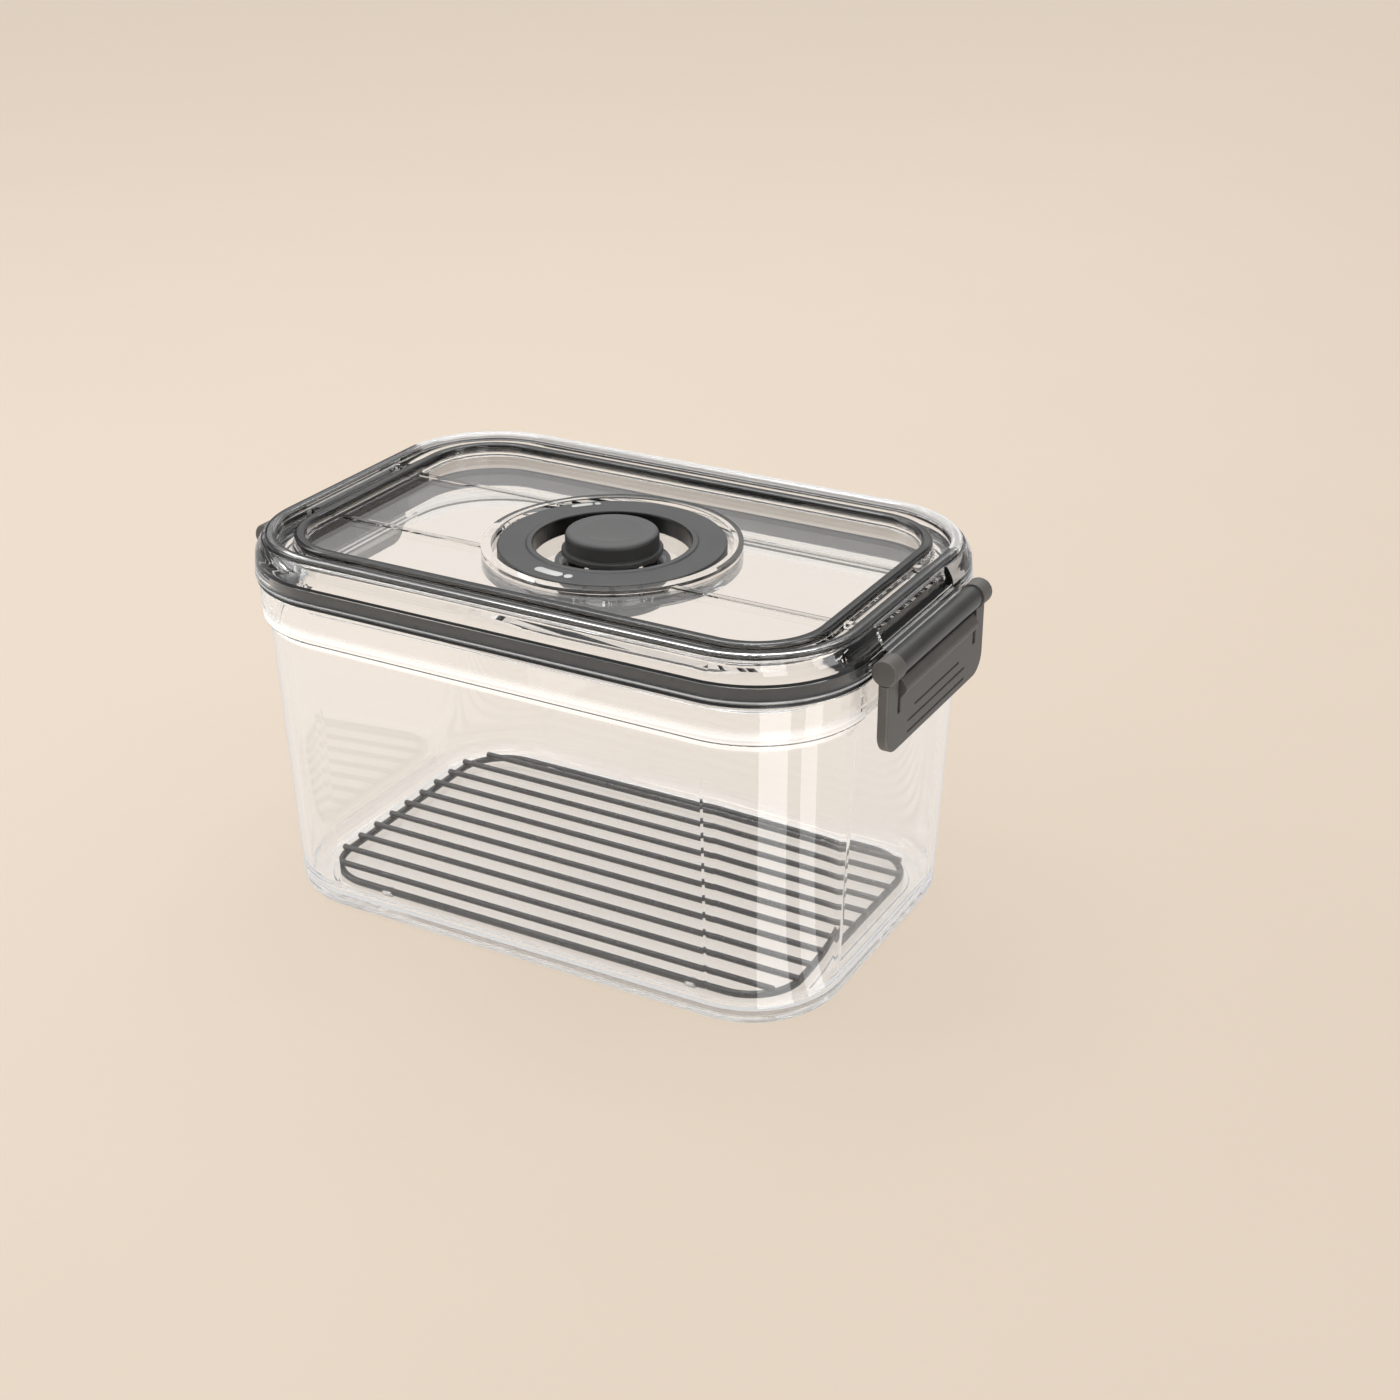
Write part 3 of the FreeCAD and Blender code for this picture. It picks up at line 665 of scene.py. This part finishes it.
RING_PLASTIC = MouldedPlastic(
    "finish_ring_plastic", (0.042, 0.042, 0.042), (0.05, 0.05, 0.05), (0.09, 0.09, 0.09),
    roughness=0.4, grain_depth=0.00002)
# Painted shade: a darker copy of the ring plastic inside the ring's recess.
SLEEVE_PAINTED_SHADE = MouldedPlastic(
    "finish_sleeve_painted_shade", (0.012, 0.012, 0.012), (0.016, 0.016, 0.016), (0.05, 0.05, 0.05),
    roughness=0.25, roughness_spread=0.06, specular=0.2, grain_depth=0.00001)
SEAL_SILICONE = Silicone(
    "finish_seal_silicone", (0.009, 0.009, 0.009), (0.014, 0.014, 0.014), (0.06, 0.058, 0.056),
    roughness=0.42, sheen=0.0, dust=0.12)
# Painted shade: the seal's lip between lid and box rim is blacker than the rest of the seal, and it
# is glossier.
LIP_SILICONE = Silicone(
    "finish_lip_silicone", (0.003, 0.003, 0.003), (0.005, 0.005, 0.005), (0.03, 0.029, 0.028),
    roughness=0.25, sheen=0.0, dust=0.08)
BUTTON_SILICONE = Silicone(
    "finish_button_silicone", (0.058, 0.058, 0.057), (0.07, 0.07, 0.069), (0.18, 0.175, 0.17),
    roughness=0.55, sheen=0.2, dust=0.12)
# Painted shade: a darker copy of the button silicone on its upright side and skirt.
BUTTON_SIDE_PAINTED_SHADE = Silicone(
    "finish_button_side_painted_shade", (0.022, 0.022, 0.022), (0.028, 0.028, 0.028), (0.1, 0.098, 0.095),
    roughness=0.5, sheen=0.0, dust=0.1)
MARK_SILICONE = Silicone(
    "finish_ring_mark", (0.5, 0.5, 0.49), (0.58, 0.58, 0.57), (0.4, 0.39, 0.38),
    edge_radius=0.0002, roughness=0.3, dust=0.3)
COATED_WIRE = CoatedWire("finish_coated_wire")
DRAWN_STEEL = DrawnSteel("finish_drawn_steel")
FLOOR_PAPER = FloorPaper("finish_floor_paper")


def dress(node: str, finish: Finish) -> str:
    """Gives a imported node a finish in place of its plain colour.

    Args:
        node: name of the node.
        finish: what it is made of.

    Returns:
        The node's name, for the log.
    """
    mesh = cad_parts[node].data
    mesh.materials.clear()
    mesh.materials.append(finish.material())
    return node


def dress_faces(node: str, finish: Finish, chosen: Callable[[Vector], bool]) -> str:
    """Gives some faces of a dressed node a finish of their own.

    Args:
        node: name of the node.
        finish: what those faces are made of.
        chosen: tells by the middle of a face whether it is one of them.

    Returns:
        A name for the log.
    """
    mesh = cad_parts[node].data
    mesh.materials.append(finish.material())
    for face in mesh.polygons:
        if chosen(face.center):
            face.material_index = len(mesh.materials) - 1
    return f"{node} {finish.name}"


def add_object(name: str, data: Any) -> bpy.types.Object:
    """Makes an object and links it to the scene.

    Args:
        name: name of the object.
        data: its mesh, lamp or camera.

    Returns:
        The new object.
    """
    made = bpy.data.objects.new(name, data)
    bpy.context.scene.collection.objects.link(made)
    return made


def close_mesh(shape: bmesh.types.BMesh, name: str, finish: Finish) -> bpy.types.Mesh:
    """Turns a built shape into a mesh, and frees the shape.

    Args:
        shape: the built shape.
        name: name of the mesh.
        finish: what all of it is made of.

    Returns:
        The new mesh.
    """
    mesh = bpy.data.meshes.new(name)
    shape.to_mesh(mesh)
    shape.free()
    mesh.materials.append(finish.material())
    return mesh


def flat_sheet(name: str, width: float, height: float, finish: Finish) -> bpy.types.Mesh:
    """Makes a rectangle about the origin, facing along Z.

    Args:
        name: name of the mesh.
        width: length along X.
        height: length along Y.
        finish: what it is made of.

    Returns:
        The new mesh.
    """
    x, y = width / 2, height / 2
    mesh = bpy.data.meshes.new(name)
    mesh.from_pydata([(-x, -y, 0.0), (x, -y, 0.0), (x, y, 0.0), (-x, y, 0.0)], [], [(0, 1, 2, 3)])
    mesh.materials.append(finish.material())
    return mesh


def on_circle(radius: float, angle: float, middle: Plan = (0.0, 0.0)) -> Plan:
    """Point at an angle on a circle in plan."""
    return middle[0] + radius * math.cos(angle), middle[1] + radius * math.sin(angle)


def aim(thing: bpy.types.Object, place: Point, target: Point) -> None:
    """Puts a lamp, card or camera at a place, facing a target.

    Args:
        thing: the object to place.
        place: where it stands.
        target: the point that its -Z axis meets.
    """
    thing.location = place
    thing.rotation_mode = "QUATERNION"
    thing.rotation_quaternion = (Vector(target) - Vector(place)).to_track_quat("-Z", "Y")


@dataclass(frozen=True)
class RimLoop:
    """The rounded rectangle through the middle of the lid's outer rim."""

    half_length: float = 109.0 * MM
    half_width: float = 71.2 * MM
    corner: float = 35.0 * MM

    def offset(self, point: Vector) -> float:
        """Measures how far a point lies from the loop in plan.

        Args:
            point: a point of any height.

        Returns:
            The distance, which is negative inside the loop.
        """
        along = abs(point.x) - (self.half_length - self.corner)
        across = abs(point.y) - (self.half_width - self.corner)
        if along > 0.0 and across > 0.0:
            return math.hypot(along, across) - self.corner
        return max(along, across) - self.corner


RIM_LOOP = RimLoop()


class SubAssembly(ABC):
    """A group of pieces that belong together."""

    @abstractmethod
    def build(self) -> Iterator[str]:
        """Dresses or makes the pieces, and yields each one's name."""


@dataclass
class StorageBox(SubAssembly):
    """The clear box."""

    finish: Finish = BOX_PLASTIC
    end_finish: Finish = BOX_END_PLASTIC
    end_reach: float = 98.0 * MM
    end_half_width: float = 36.5 * MM

    def build(self) -> Iterator[str]:
        """Dresses the box, with weaker painted highlights on the two end walls as painted shade of
        the latches.
        """
        yield dress("container_body", self.finish)
        yield dress_faces("container_body", self.end_finish, self._on_end)

    def _on_end(self, middle: Vector) -> bool:
        """Tells whether a point lies on an end wall, between the corners."""
        return abs(middle.x) > self.end_reach and abs(middle.y) < self.end_half_width


@dataclass
class CanisterLid(SubAssembly):
    """The clear lid with the strips on its rims and the seal in its edge."""

    shell_finish: Finish = LID_PLASTIC
    barrel_finish: Finish = BARREL_PLASTIC
    well_finish: Finish = WELL_PLASTIC
    bezel_finish: Finish = BEZEL_PLASTIC
    bead_finish: Finish = BEAD_PLASTIC
    plug_finish: Finish = PLUG_PLASTIC
    plug_end_finish: Finish = PLUG_END_PLASTIC
    outer_strip_finish: Finish = OUTER_STRIP
    strip_back_finish: Finish = STRIP_BACK_PAINTED_HIGHLIGHT
    strip_edge_finish: Finish = STRIP_EDGE_PAINTED_SHADE
    inner_strip_finish: Finish = INNER_STRIP
    seal_finish: Finish = SEAL_SILICONE
    lip_finish: Finish = LIP_SILICONE
    pivot_x: float = 120.0 * MM
    pivot_z: float = 124.0 * MM
    barrel_radius: float = 3.9 * MM
    barrel_half_length: float = 31.0 * MM
    face_margin: float = 0.12 * MM
    well_radius: float = 45.0 * MM
    panel_low: float = 128.0 * MM
    panel_high: float = 131.0 * MM
    bezel_front: float = -5.0 * MM
    bezel_top: float = 132.2 * MM
    bead_middle: float = 24.2 * MM
    bead_half_width: float = 1.1 * MM
    bead_top: float = 131.7 * MM
    plug_span: Span = (-7.35 * MM, -6.9 * MM)
    plug_front: float = -36.0 * MM
    strip_edge_offset: float = 1.45 * MM
    strip_edge_back: float = 40.0 * MM
    lip_offset: float = 3.1 * MM
    lip_top: float = 121.25 * MM

    def build(self) -> Iterator[str]:
        """Dresses the shell part by part, then the strips and the seal.

        Returns:
            The pieces' names, one by one.
        """
        yield dress("lid_shell", self.shell_finish)
        yield dress_faces("lid_shell", self.barrel_finish, self._on_barrel)
        yield dress_faces("lid_shell", self.well_finish, self._on_well)
        yield dress_faces("lid_shell", self.bezel_finish, self._on_bezel)
        yield dress_faces("lid_shell", self.bead_finish, self._on_bead)
        yield dress_faces("lid_shell", self.plug_finish, self._on_plug)
        yield dress_faces("lid_shell", self.plug_end_finish, self._on_plug_end)
        yield dress("rim_strip_outer", self.outer_strip_finish)
        yield dress_faces("rim_strip_outer", self.strip_back_finish, self._on_strip_back)
        yield dress_faces("rim_strip_outer", self.strip_edge_finish, self._on_strip_edge)
        yield dress("rim_strip_inner", self.inner_strip_finish)
        yield dress("lid_gasket", self.seal_finish)
        yield dress_faces("lid_gasket", self.lip_finish, self._on_lip)

    def _on_barrel(self, middle: Vector) -> bool:
        """Tells whether a point lies on the skin or on an end of a hinge barrel.

        Args:
            middle: middle of a face.

        Returns:
            True if it does.
        """
        reach = math.hypot(abs(middle.x) - self.pivot_x, middle.z - self.pivot_z)
        along = abs(middle.y) - self.barrel_half_length
        on_skin = abs(reach - self.barrel_radius) < self.face_margin
        on_end = reach < self.barrel_radius and along > -self.face_margin
        return along < self.face_margin and (on_skin or on_end)

    def _on_well(self, middle: Vector) -> bool:
        """Tells whether a point lies on the outside of the valve well, under the panel."""
        reach = math.hypot(middle.x, middle.y)
        return abs(reach - self.well_radius) < self.face_margin and middle.z < self.panel_low

    def _on_bezel(self, middle: Vector) -> bool:
        """Tells whether a point lies on the top or the outer side of the bezel, but its front.

        Args:
            middle: middle of a face.

        Returns:
            True if it does.
        """
        on_ring = math.hypot(middle.x, middle.y) < self.well_radius + self.face_margin
        on_side = on_ring and self.panel_high < middle.z < self.bezel_top + self.face_margin
        return on_side and middle.y > self.bezel_front

    def _on_bead(self, middle: Vector) -> bool:
        """Tells whether a point lies on one of the panel's two beads.

        Args:
            middle: middle of a face.

        Returns:
            True if it does.
        """
        beside = abs(abs(middle.y) - self.bead_middle) < self.bead_half_width
        height = middle.z - self.face_margin
        over_panel = self.panel_high < height < self.bead_top
        past_well = math.hypot(middle.x, middle.y) > self.well_radius
        return beside and over_panel and past_well and RIM_LOOP.offset(middle) < self.plug_span[1]

    def _on_plug(self, middle: Vector) -> bool:
        """Tells whether a point lies inside the wall that plugs the box's mouth, but its front.

        Args:
            middle: middle of a face.

        Returns:
            True if it does.
        """
        low, high = self.plug_span
        on_wall = low < RIM_LOOP.offset(middle) < high
        under_panel = middle.z < self.panel_low - self.face_margin
        return on_wall and under_panel and middle.y > self.plug_front

    def _on_plug_end(self, middle: Vector) -> bool:
        """Tells whether a point lies on the part of that wall that gets the latch's painted shade.
        """
        return self._on_plug(middle) and middle.y < -self.plug_front

    def _on_strip_back(self, middle: Vector) -> bool:
        """Tells whether a point lies on the back of the outer strip."""
        return middle.y >= self.strip_edge_back

    def _on_strip_edge(self, middle: Vector) -> bool:
        """Tells whether a point lies on the outer side of the outer strip, but its back."""
        return RIM_LOOP.offset(middle) > self.strip_edge_offset and middle.y < self.strip_edge_back

    def _on_lip(self, middle: Vector) -> bool:
        """Tells whether a point lies on the part of the seal that rests on the box's rim."""
        return RIM_LOOP.offset(middle) > self.lip_offset and middle.z < self.lip_top


class LatchEnd(Enum):
    """The end of the canister that a latch closes."""

    RIGHT = "latch_right"
    LEFT = "latch_left"


@dataclass
class SideLatch(SubAssembly):
    """One latch with its pin and caps."""

    end: LatchEnd
    plate_finish: Finish = LATCH_PLASTIC
    pin_finish: Finish = PIN_PLASTIC

    def build(self) -> Iterator[str]:
        """Dresses the plate, the caps and the pin.

        Returns:
            The pieces' names, one by one.
        """
        yield dress(self.end.value, self.plate_finish)
        yield dress(f"{self.end.value}_caps", self.plate_finish)
        yield dress(f"{self.end.value}_pin", self.pin_finish)


@dataclass(frozen=True)
class RingMark:
    """A raised bar bent along the ring, with round ends, or a dot when it has no span."""

    name: str
    angle_deg: float
    span_deg: float
    radius: float
    width: float

    def outline(self, steps: int = 12) -> list[Plan]:
        """Points round the mark.

        Args:
            steps: number of parts that each arc is drawn in.

        Returns:
            Points (x, y) in order round the ring's middle.
        """
        half = self.width / 2
        first = math.radians(self.angle_deg - self.span_deg / 2)
        last = math.radians(self.angle_deg + self.span_deg / 2)
        points = []
        for reach, begin, end, turn in ((half, first, last, 0.0), (-half, last, first, math.pi)):
            if self.span_deg > 0:
                for step in range(steps):
                    angle = begin + (end - begin) * step / steps
                    points.append(on_circle(self.radius + reach, angle))
            middle = on_circle(self.radius, end)
            for step in range(steps):
                angle = end + turn + math.pi * step / steps
                points.append(on_circle(half, angle, middle))
        return points


@dataclass
class TurningRing(SubAssembly):
    """The ring round the valve, with raised marks at two places that show how it is turned."""

    finish: Finish = RING_PLASTIC
    sleeve_finish: Finish = SLEEVE_PAINTED_SHADE
    sleeve_radius: float = 27.2 * MM
    sleeve_margin: float = 0.6 * MM
    mark_finish: Finish = MARK_SILICONE
    lip_height: float = 0.5 * MM
    mark_height: float = 0.3 * MM
    mark_sink: float = 0.05 * MM
    mark_round: float = 0.12 * MM
    round_steps: int = 3
    round_profile: float = 0.5
    marks: Sequence[RingMark] = (
        RingMark("ring_mark_front_bar", -97.0, 13.0, 34.6 * MM, 3.4 * MM),
        RingMark("ring_mark_front_dot", -84.0, 0.0, 34.6 * MM, 3.0 * MM),
        RingMark("ring_mark_back_bar", 138.0, 9.0, 36.4 * MM, 2.2 * MM),
        RingMark("ring_mark_back_dot", 129.0, 0.0, 36.4 * MM, 2.2 * MM),
    )

    def build(self) -> Iterator[str]:
        """Dresses the ring with painted shade on its sleeve and sets the marks on it.

        Returns:
            The pieces' names, one by one.
        """
        yield dress("valve_ring", self.finish)
        yield dress_faces("valve_ring", self.sleeve_finish, self._on_sleeve)
        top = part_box("valve_ring")[1][2] - self.lip_height
        for mark in self.marks:
            yield self._raise_mark(mark, top)

    def _on_sleeve(self, middle: Vector) -> bool:
        """Tells whether a point lies on the inside of the ring."""
        return math.hypot(middle.x, middle.y) < self.sleeve_radius + self.sleeve_margin

    def _raise_mark(self, mark: RingMark, top: float) -> str:
        """Makes one mark as a low block with a rounded top edge.

        Args:
            mark: outline of the mark.
            top: height of the ring's flat top.

        Returns:
            The mark's name.
        """
        shape = bmesh.new()
        low = top - self.mark_sink
        corners = [shape.verts.new((x, y, low)) for x, y in mark.outline()]
        base = shape.faces.new(corners)
        raised = bmesh.ops.extrude_face_region(shape, geom=[base])["geom"]
        lifted = [part for part in raised if isinstance(part, bmesh.types.BMVert)]
        rise = (0.0, 0.0, self.mark_height + self.mark_sink)
        bmesh.ops.translate(shape, verts=lifted, vec=rise)
        rim = [part for part in raised if isinstance(part, bmesh.types.BMEdge)]
        bmesh.ops.bevel(shape, geom=rim, offset=self.mark_round, segments=self.round_steps,
                        affect="EDGES", profile=self.round_profile)
        bmesh.ops.recalc_face_normals(shape, faces=shape.faces[:])
        mesh = close_mesh(shape, mark.name, self.mark_finish)
        mesh.set_sharp_from_angle(angle=SHARP_ANGLE)
        piece = add_object(mark.name, mesh)
        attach(piece, "ring")
        return mark.name


@dataclass
class PushValve(SubAssembly):
    """The push button with the stem, spring, seals and guard under it."""

    finishes: dict[str, Finish] = field(default_factory=lambda: {
        "valve_button": BUTTON_SILICONE,
        "valve_plunger": RING_PLASTIC,
        "plunger_seal": SEAL_SILICONE,
        "check_disc": SEAL_SILICONE,
        "valve_guard": RING_PLASTIC,
    })
    side_painted_shade_finish: Finish = BUTTON_SIDE_PAINTED_SHADE
    cap_radius: float = 16.2 * MM
    cap_margin: float = 0.4 * MM
    spring_finish: Finish = DRAWN_STEEL
    spring_wire: float = 0.8 * MM
    spring_coil_radius: float = 4.7 * MM
    spring_turns: float = 3.5
    spring_steps: int = 140
    spring_sides: int = 12
    press_travel: float = 2.0 * MM

    def build(self) -> Iterator[str]:
        """Dresses each piece of the valve, paints shade on the button's side, and winds the spring.

        Returns:
            The pieces' names, one by one.
        """
        for node, finish in self.finishes.items():
            yield dress(node, finish)
        yield dress_faces("valve_button", self.side_painted_shade_finish, self._on_side)
        yield self._wind_spring()

    def _wind_spring(self) -> str:
        """Makes the return spring.

        Returns:
            The spring's name.
        """
        low, high = (corner[2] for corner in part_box("valve_spring"))
        shape = bmesh.new()
        rings = []
        for step in range(self.spring_steps + 1):
            points = self._wire_ring(step / self.spring_steps, low, high)
            rings.append([shape.verts.new(point) for point in points])
        for before, after in zip(rings, rings[1:]):
            for side in range(self.spring_sides):
                shape.faces.new((before[side - 1], before[side], after[side], after[side - 1]))
        shape.faces.new(rings[0])
        shape.faces.new(rings[-1])
        bmesh.ops.recalc_face_normals(shape, faces=shape.faces[:])
        mesh = close_mesh(shape, "return_spring", self.spring_finish)
        mesh.set_sharp_from_angle(angle=SHARP_ANGLE)
        piece = add_object("return_spring", mesh)
        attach(piece, "lid")
        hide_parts("valve_spring")
        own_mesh(piece)
        return piece.name

    def _wire_ring(self, share: float, low: float, high: float) -> list[Vector]:
        """Points round the spring's wire.

        Args:
            share: place along the wire, from 0 to 1.
            low: height of the spring's lowest point.
            high: height of its highest point.

        Returns:
            One ring of points across the wire.
        """
        whole_turn = self.spring_turns * math.tau
        angle = share * whole_turn
        half = self.spring_wire / 2
        rise = (high - low - self.spring_wire) / whole_turn
        outward = Vector((*on_circle(1.0, angle), 0.0))
        along = Vector((*on_circle(self.spring_coil_radius, angle + math.pi / 2), rise))
        upward = outward.cross(along.normalized())
        middle = outward * self.spring_coil_radius
        middle.z = low + half + rise * angle
        turns = [math.tau * side / self.spring_sides for side in range(self.spring_sides)]
        across = [on_circle(half, turn) for turn in turns]
        return [middle + out * outward + up * upward for out, up in across]

    def _on_side(self, middle: Vector) -> bool:
        """Tells whether a point lies on the button's upright side or its skirt."""
        return math.hypot(middle.x, middle.y) > self.cap_radius - self.cap_margin


@dataclass
class DrainRack(SubAssembly):
    """The wire rack on the floor of the box, with its clear feet."""

    wire_finish: Finish = COATED_WIRE
    foot_finish: Finish = CLEAR_SILICONE

    def build(self) -> Iterator[str]:
        """Dresses the wires and the feet."""
        yield dress("drain_rack", self.wire_finish)
        yield dress("rack_feet", self.foot_finish)


@dataclass(frozen=True)
class SoftBox:
    """A soft lamp that faces the canister."""

    name: str
    place: Point
    width: float
    height: float
    power: float

    def hang(self, target: Point) -> None:
        """Adds the lamp, facing a target.

        Args:
            target: the point that it faces.
        """
        lamp = bpy.data.lights.new(self.name, "AREA")
        lamp.shape = "RECTANGLE"
        lamp.size = self.width
        lamp.size_y = self.height
        lamp.energy = self.power
        aim(add_object(self.name, lamp), self.place, target)


def hide_but_for_reflections(card: bpy.types.Object) -> None:
    """Leaves a card to be seen in reflections alone.

    Args:
        card: the card, which is part of the studio.
    """
    card.visible_camera = False
    card.visible_diffuse = False
    card.visible_transmission = False
    card.visible_shadow = False


@dataclass(frozen=True)
class FloorCard:
    """A white fan-shaped card that lies on the floor and shows only in reflections."""

    name: str
    middle: Plan
    span_deg: Span
    reach: Span
    strength: float
    height: float
    steps: int = 24

    def lay(self) -> None:
        """Adds the card."""
        shape = bmesh.new()
        first, last = self.span_deg
        rows = []
        for step in range(self.steps + 1):
            angle = math.radians(first + (last - first) * step / self.steps)
            points = [on_circle(reach, angle, self.middle) for reach in self.reach]
            rows.append([shape.verts.new((*point, self.height)) for point in points])
        for before, after in zip(rows, rows[1:]):
            shape.faces.new((before[0], before[1], after[1], after[0]))
        mesh = close_mesh(shape, self.name, CardGlow(f"finish_{self.name}", self.strength))
        hide_but_for_reflections(add_object(self.name, mesh))


@dataclass(frozen=True)
class ReflectorCard:
    """A white card that shows only in reflections."""

    name: str
    place: Point
    width: float
    height: float
    strength: float

    def stand(self, target: Point) -> None:
        """Adds the card, facing a target.

        Args:
            target: the point that it faces.
        """
        glow = CardGlow(f"finish_{self.name}", self.strength)
        card = add_object(self.name, flat_sheet(self.name, self.width, self.height, glow))
        aim(card, self.place, target)
        hide_but_for_reflections(card)


# Axis of the box's front right corner in plan, and where the streaks about it begin and end.
CORNER_AXIS: Plan = (0.074, -0.036)
STREAK_REACH: Span = (0.042, 0.32)


@dataclass
class Studio:
    """Floor, world, lamps and cards."""

    floor_size: float = 12.0
    light_target: Point = (0.0, 0.0, 0.08)
    sky_colour: Colour = (0.8, 0.8, 0.8)
    horizon_colour: Colour = (0.42, 0.41, 0.4)
    backdrop_colour: Colour = (0.8, 0.68, 0.565)
    panel_colour: Colour = (0.74, 0.74, 0.74)
    gap_colour: Colour = (0.2, 0.2, 0.2)
    low_room_colour: Colour = (0.3, 0.3, 0.3)
    ceiling_colour: Colour = (1.3, 1.3, 1.3)
    panel_scale: float = 0.35
    panel_edge: Span = (0.3, 0.5)
    sky_rise: Span = (0.0, 0.8)
    wall_rise: Span = (0.05, 0.28)
    ceiling_rise: Span = (0.6, 0.72)
    clear_bounces: int = 32
    glossy_bounces: int = 16
    soft_boxes: Sequence[SoftBox] = (
        SoftBox("overhead_softbox", (-0.2, 0.15, 1.3), 1.0, 0.8, 6.5),
        SoftBox("left_softbox", (-1.15, -0.5, 0.75), 0.6, 1.0, 5.0),
        SoftBox("back_softbox", (-0.35, 0.85, 1.2), 0.9, 0.3, 2.5),
    )
    cards: Sequence[ReflectorCard] = (
        ReflectorCard("front_right_card", (0.71, -0.67, 0.62), 0.36, 0.6, 5.0),
        ReflectorCard("right_card", (0.97, 0.04, 0.6), 0.36, 0.6, 5.0),
    )
    floor_cards: Sequence[FloorCard] = (
        FloorCard("wide_floor_card", (0.0, 0.0), (-180.0, 180.0), (0.0, 2.5), 0.72, 0.3 * MM),
        FloorCard("corner_streak_front", CORNER_AXIS, (-58.0, -31.0), STREAK_REACH, 4.5, 0.6 * MM),
        FloorCard("corner_streak_right", CORNER_AXIS, (-18.0, -1.0), STREAK_REACH, 3.5, 0.6 * MM),
    )

    def build(self) -> None:
        """Adds everything around the object."""
        self._lay_floor()
        self._light_world()
        for box in self.soft_boxes:
            box.hang(self.light_target)
        for card in self.cards:
            card.stand(self.light_target)
        for floor_card in self.floor_cards:
            floor_card.lay()
        settings = bpy.context.scene.cycles
        settings.max_bounces = self.clear_bounces
        settings.transmission_bounces = self.clear_bounces
        settings.glossy_bounces = self.glossy_bounces
        settings.transparent_max_bounces = self.clear_bounces
        bpy.context.scene.view_settings.view_transform = "Standard"

    def _lay_floor(self) -> None:
        """Adds the floor at the height that the canister stands on."""
        sheet = flat_sheet("floor", self.floor_size, self.floor_size, FLOOR_PAPER)
        add_object("floor", sheet)

    def _light_world(self) -> None:
        """Fills the world: sky for light, a room for reflections, the backdrop for the camera."""
        world = bpy.data.worlds.new("studio")
        bpy.context.scene.world = world
        world.use_nodes = True
        graph = ShaderGraph(world.node_tree, "ShaderNodeOutputWorld")
        direction = graph.node("ShaderNodeTexCoord", output="Generated")
        height = graph.node("ShaderNodeSeparateXYZ", inputs={"Vector": direction}, output="Z")
        sky = graph.blend(height.between(*self.sky_rise), self.horizon_colour, self.sky_colour)
        panels = graph.node("ShaderNodeTexWave", {"bands_direction": "DIAGONAL"},
                            {"Vector": direction, "Scale": self.panel_scale}, "Fac")
        walls = graph.blend(panels.between(*self.panel_edge), self.gap_colour, self.panel_colour)
        room = graph.blend(height.between(*self.wall_rise), self.low_room_colour, walls)
        room = graph.blend(height.between(*self.ceiling_rise), room, self.ceiling_colour)
        camera = graph.node("ShaderNodeLightPath", output="Is Camera Ray")
        mirrored = camera.beside("Is Glossy Ray").at_least(camera.beside("Is Transmission Ray"))
        shown = graph.blend(camera, graph.blend(mirrored, sky, room), self.backdrop_colour)
        graph.finish(graph.node("ShaderNodeBackground", inputs={"Color": shown}))


@dataclass
class PhotoCamera:
    """The camera at the photograph's viewing angle."""

    place: Point = (0.37297, -0.61551, 0.41601)
    target: Point = (0.017926, 0.029653, 0.063137)
    lens_mm: float = 57.92
    sensor_mm: float = 36.0

    def build(self) -> None:
        """Adds the camera and makes it the scene's own."""
        data = bpy.data.cameras.new("photo_camera")
        data.lens = self.lens_mm
        data.sensor_width = self.sensor_mm
        camera = add_object("photo_camera", data)
        aim(camera, self.place, self.target)
        bpy.context.scene.camera = camera


def main() -> None:
    """Builds the sub-assemblies in order, then the studio and the camera."""
    logging.basicConfig(level=logging.INFO, format="%(name)s: %(message)s")
    assemblies: list[SubAssembly] = [
        StorageBox(),
        CanisterLid(),
        SideLatch(LatchEnd.RIGHT),
        SideLatch(LatchEnd.LEFT),
        TurningRing(),
        PushValve(),
        DrainRack(),
    ]
    for assembly in assemblies:
        for piece in assembly.build():
            LOG.info("%s %s", type(assembly).__name__, piece)
    Studio().build()
    PhotoCamera().build()


if __name__ == "__main__":
    main()
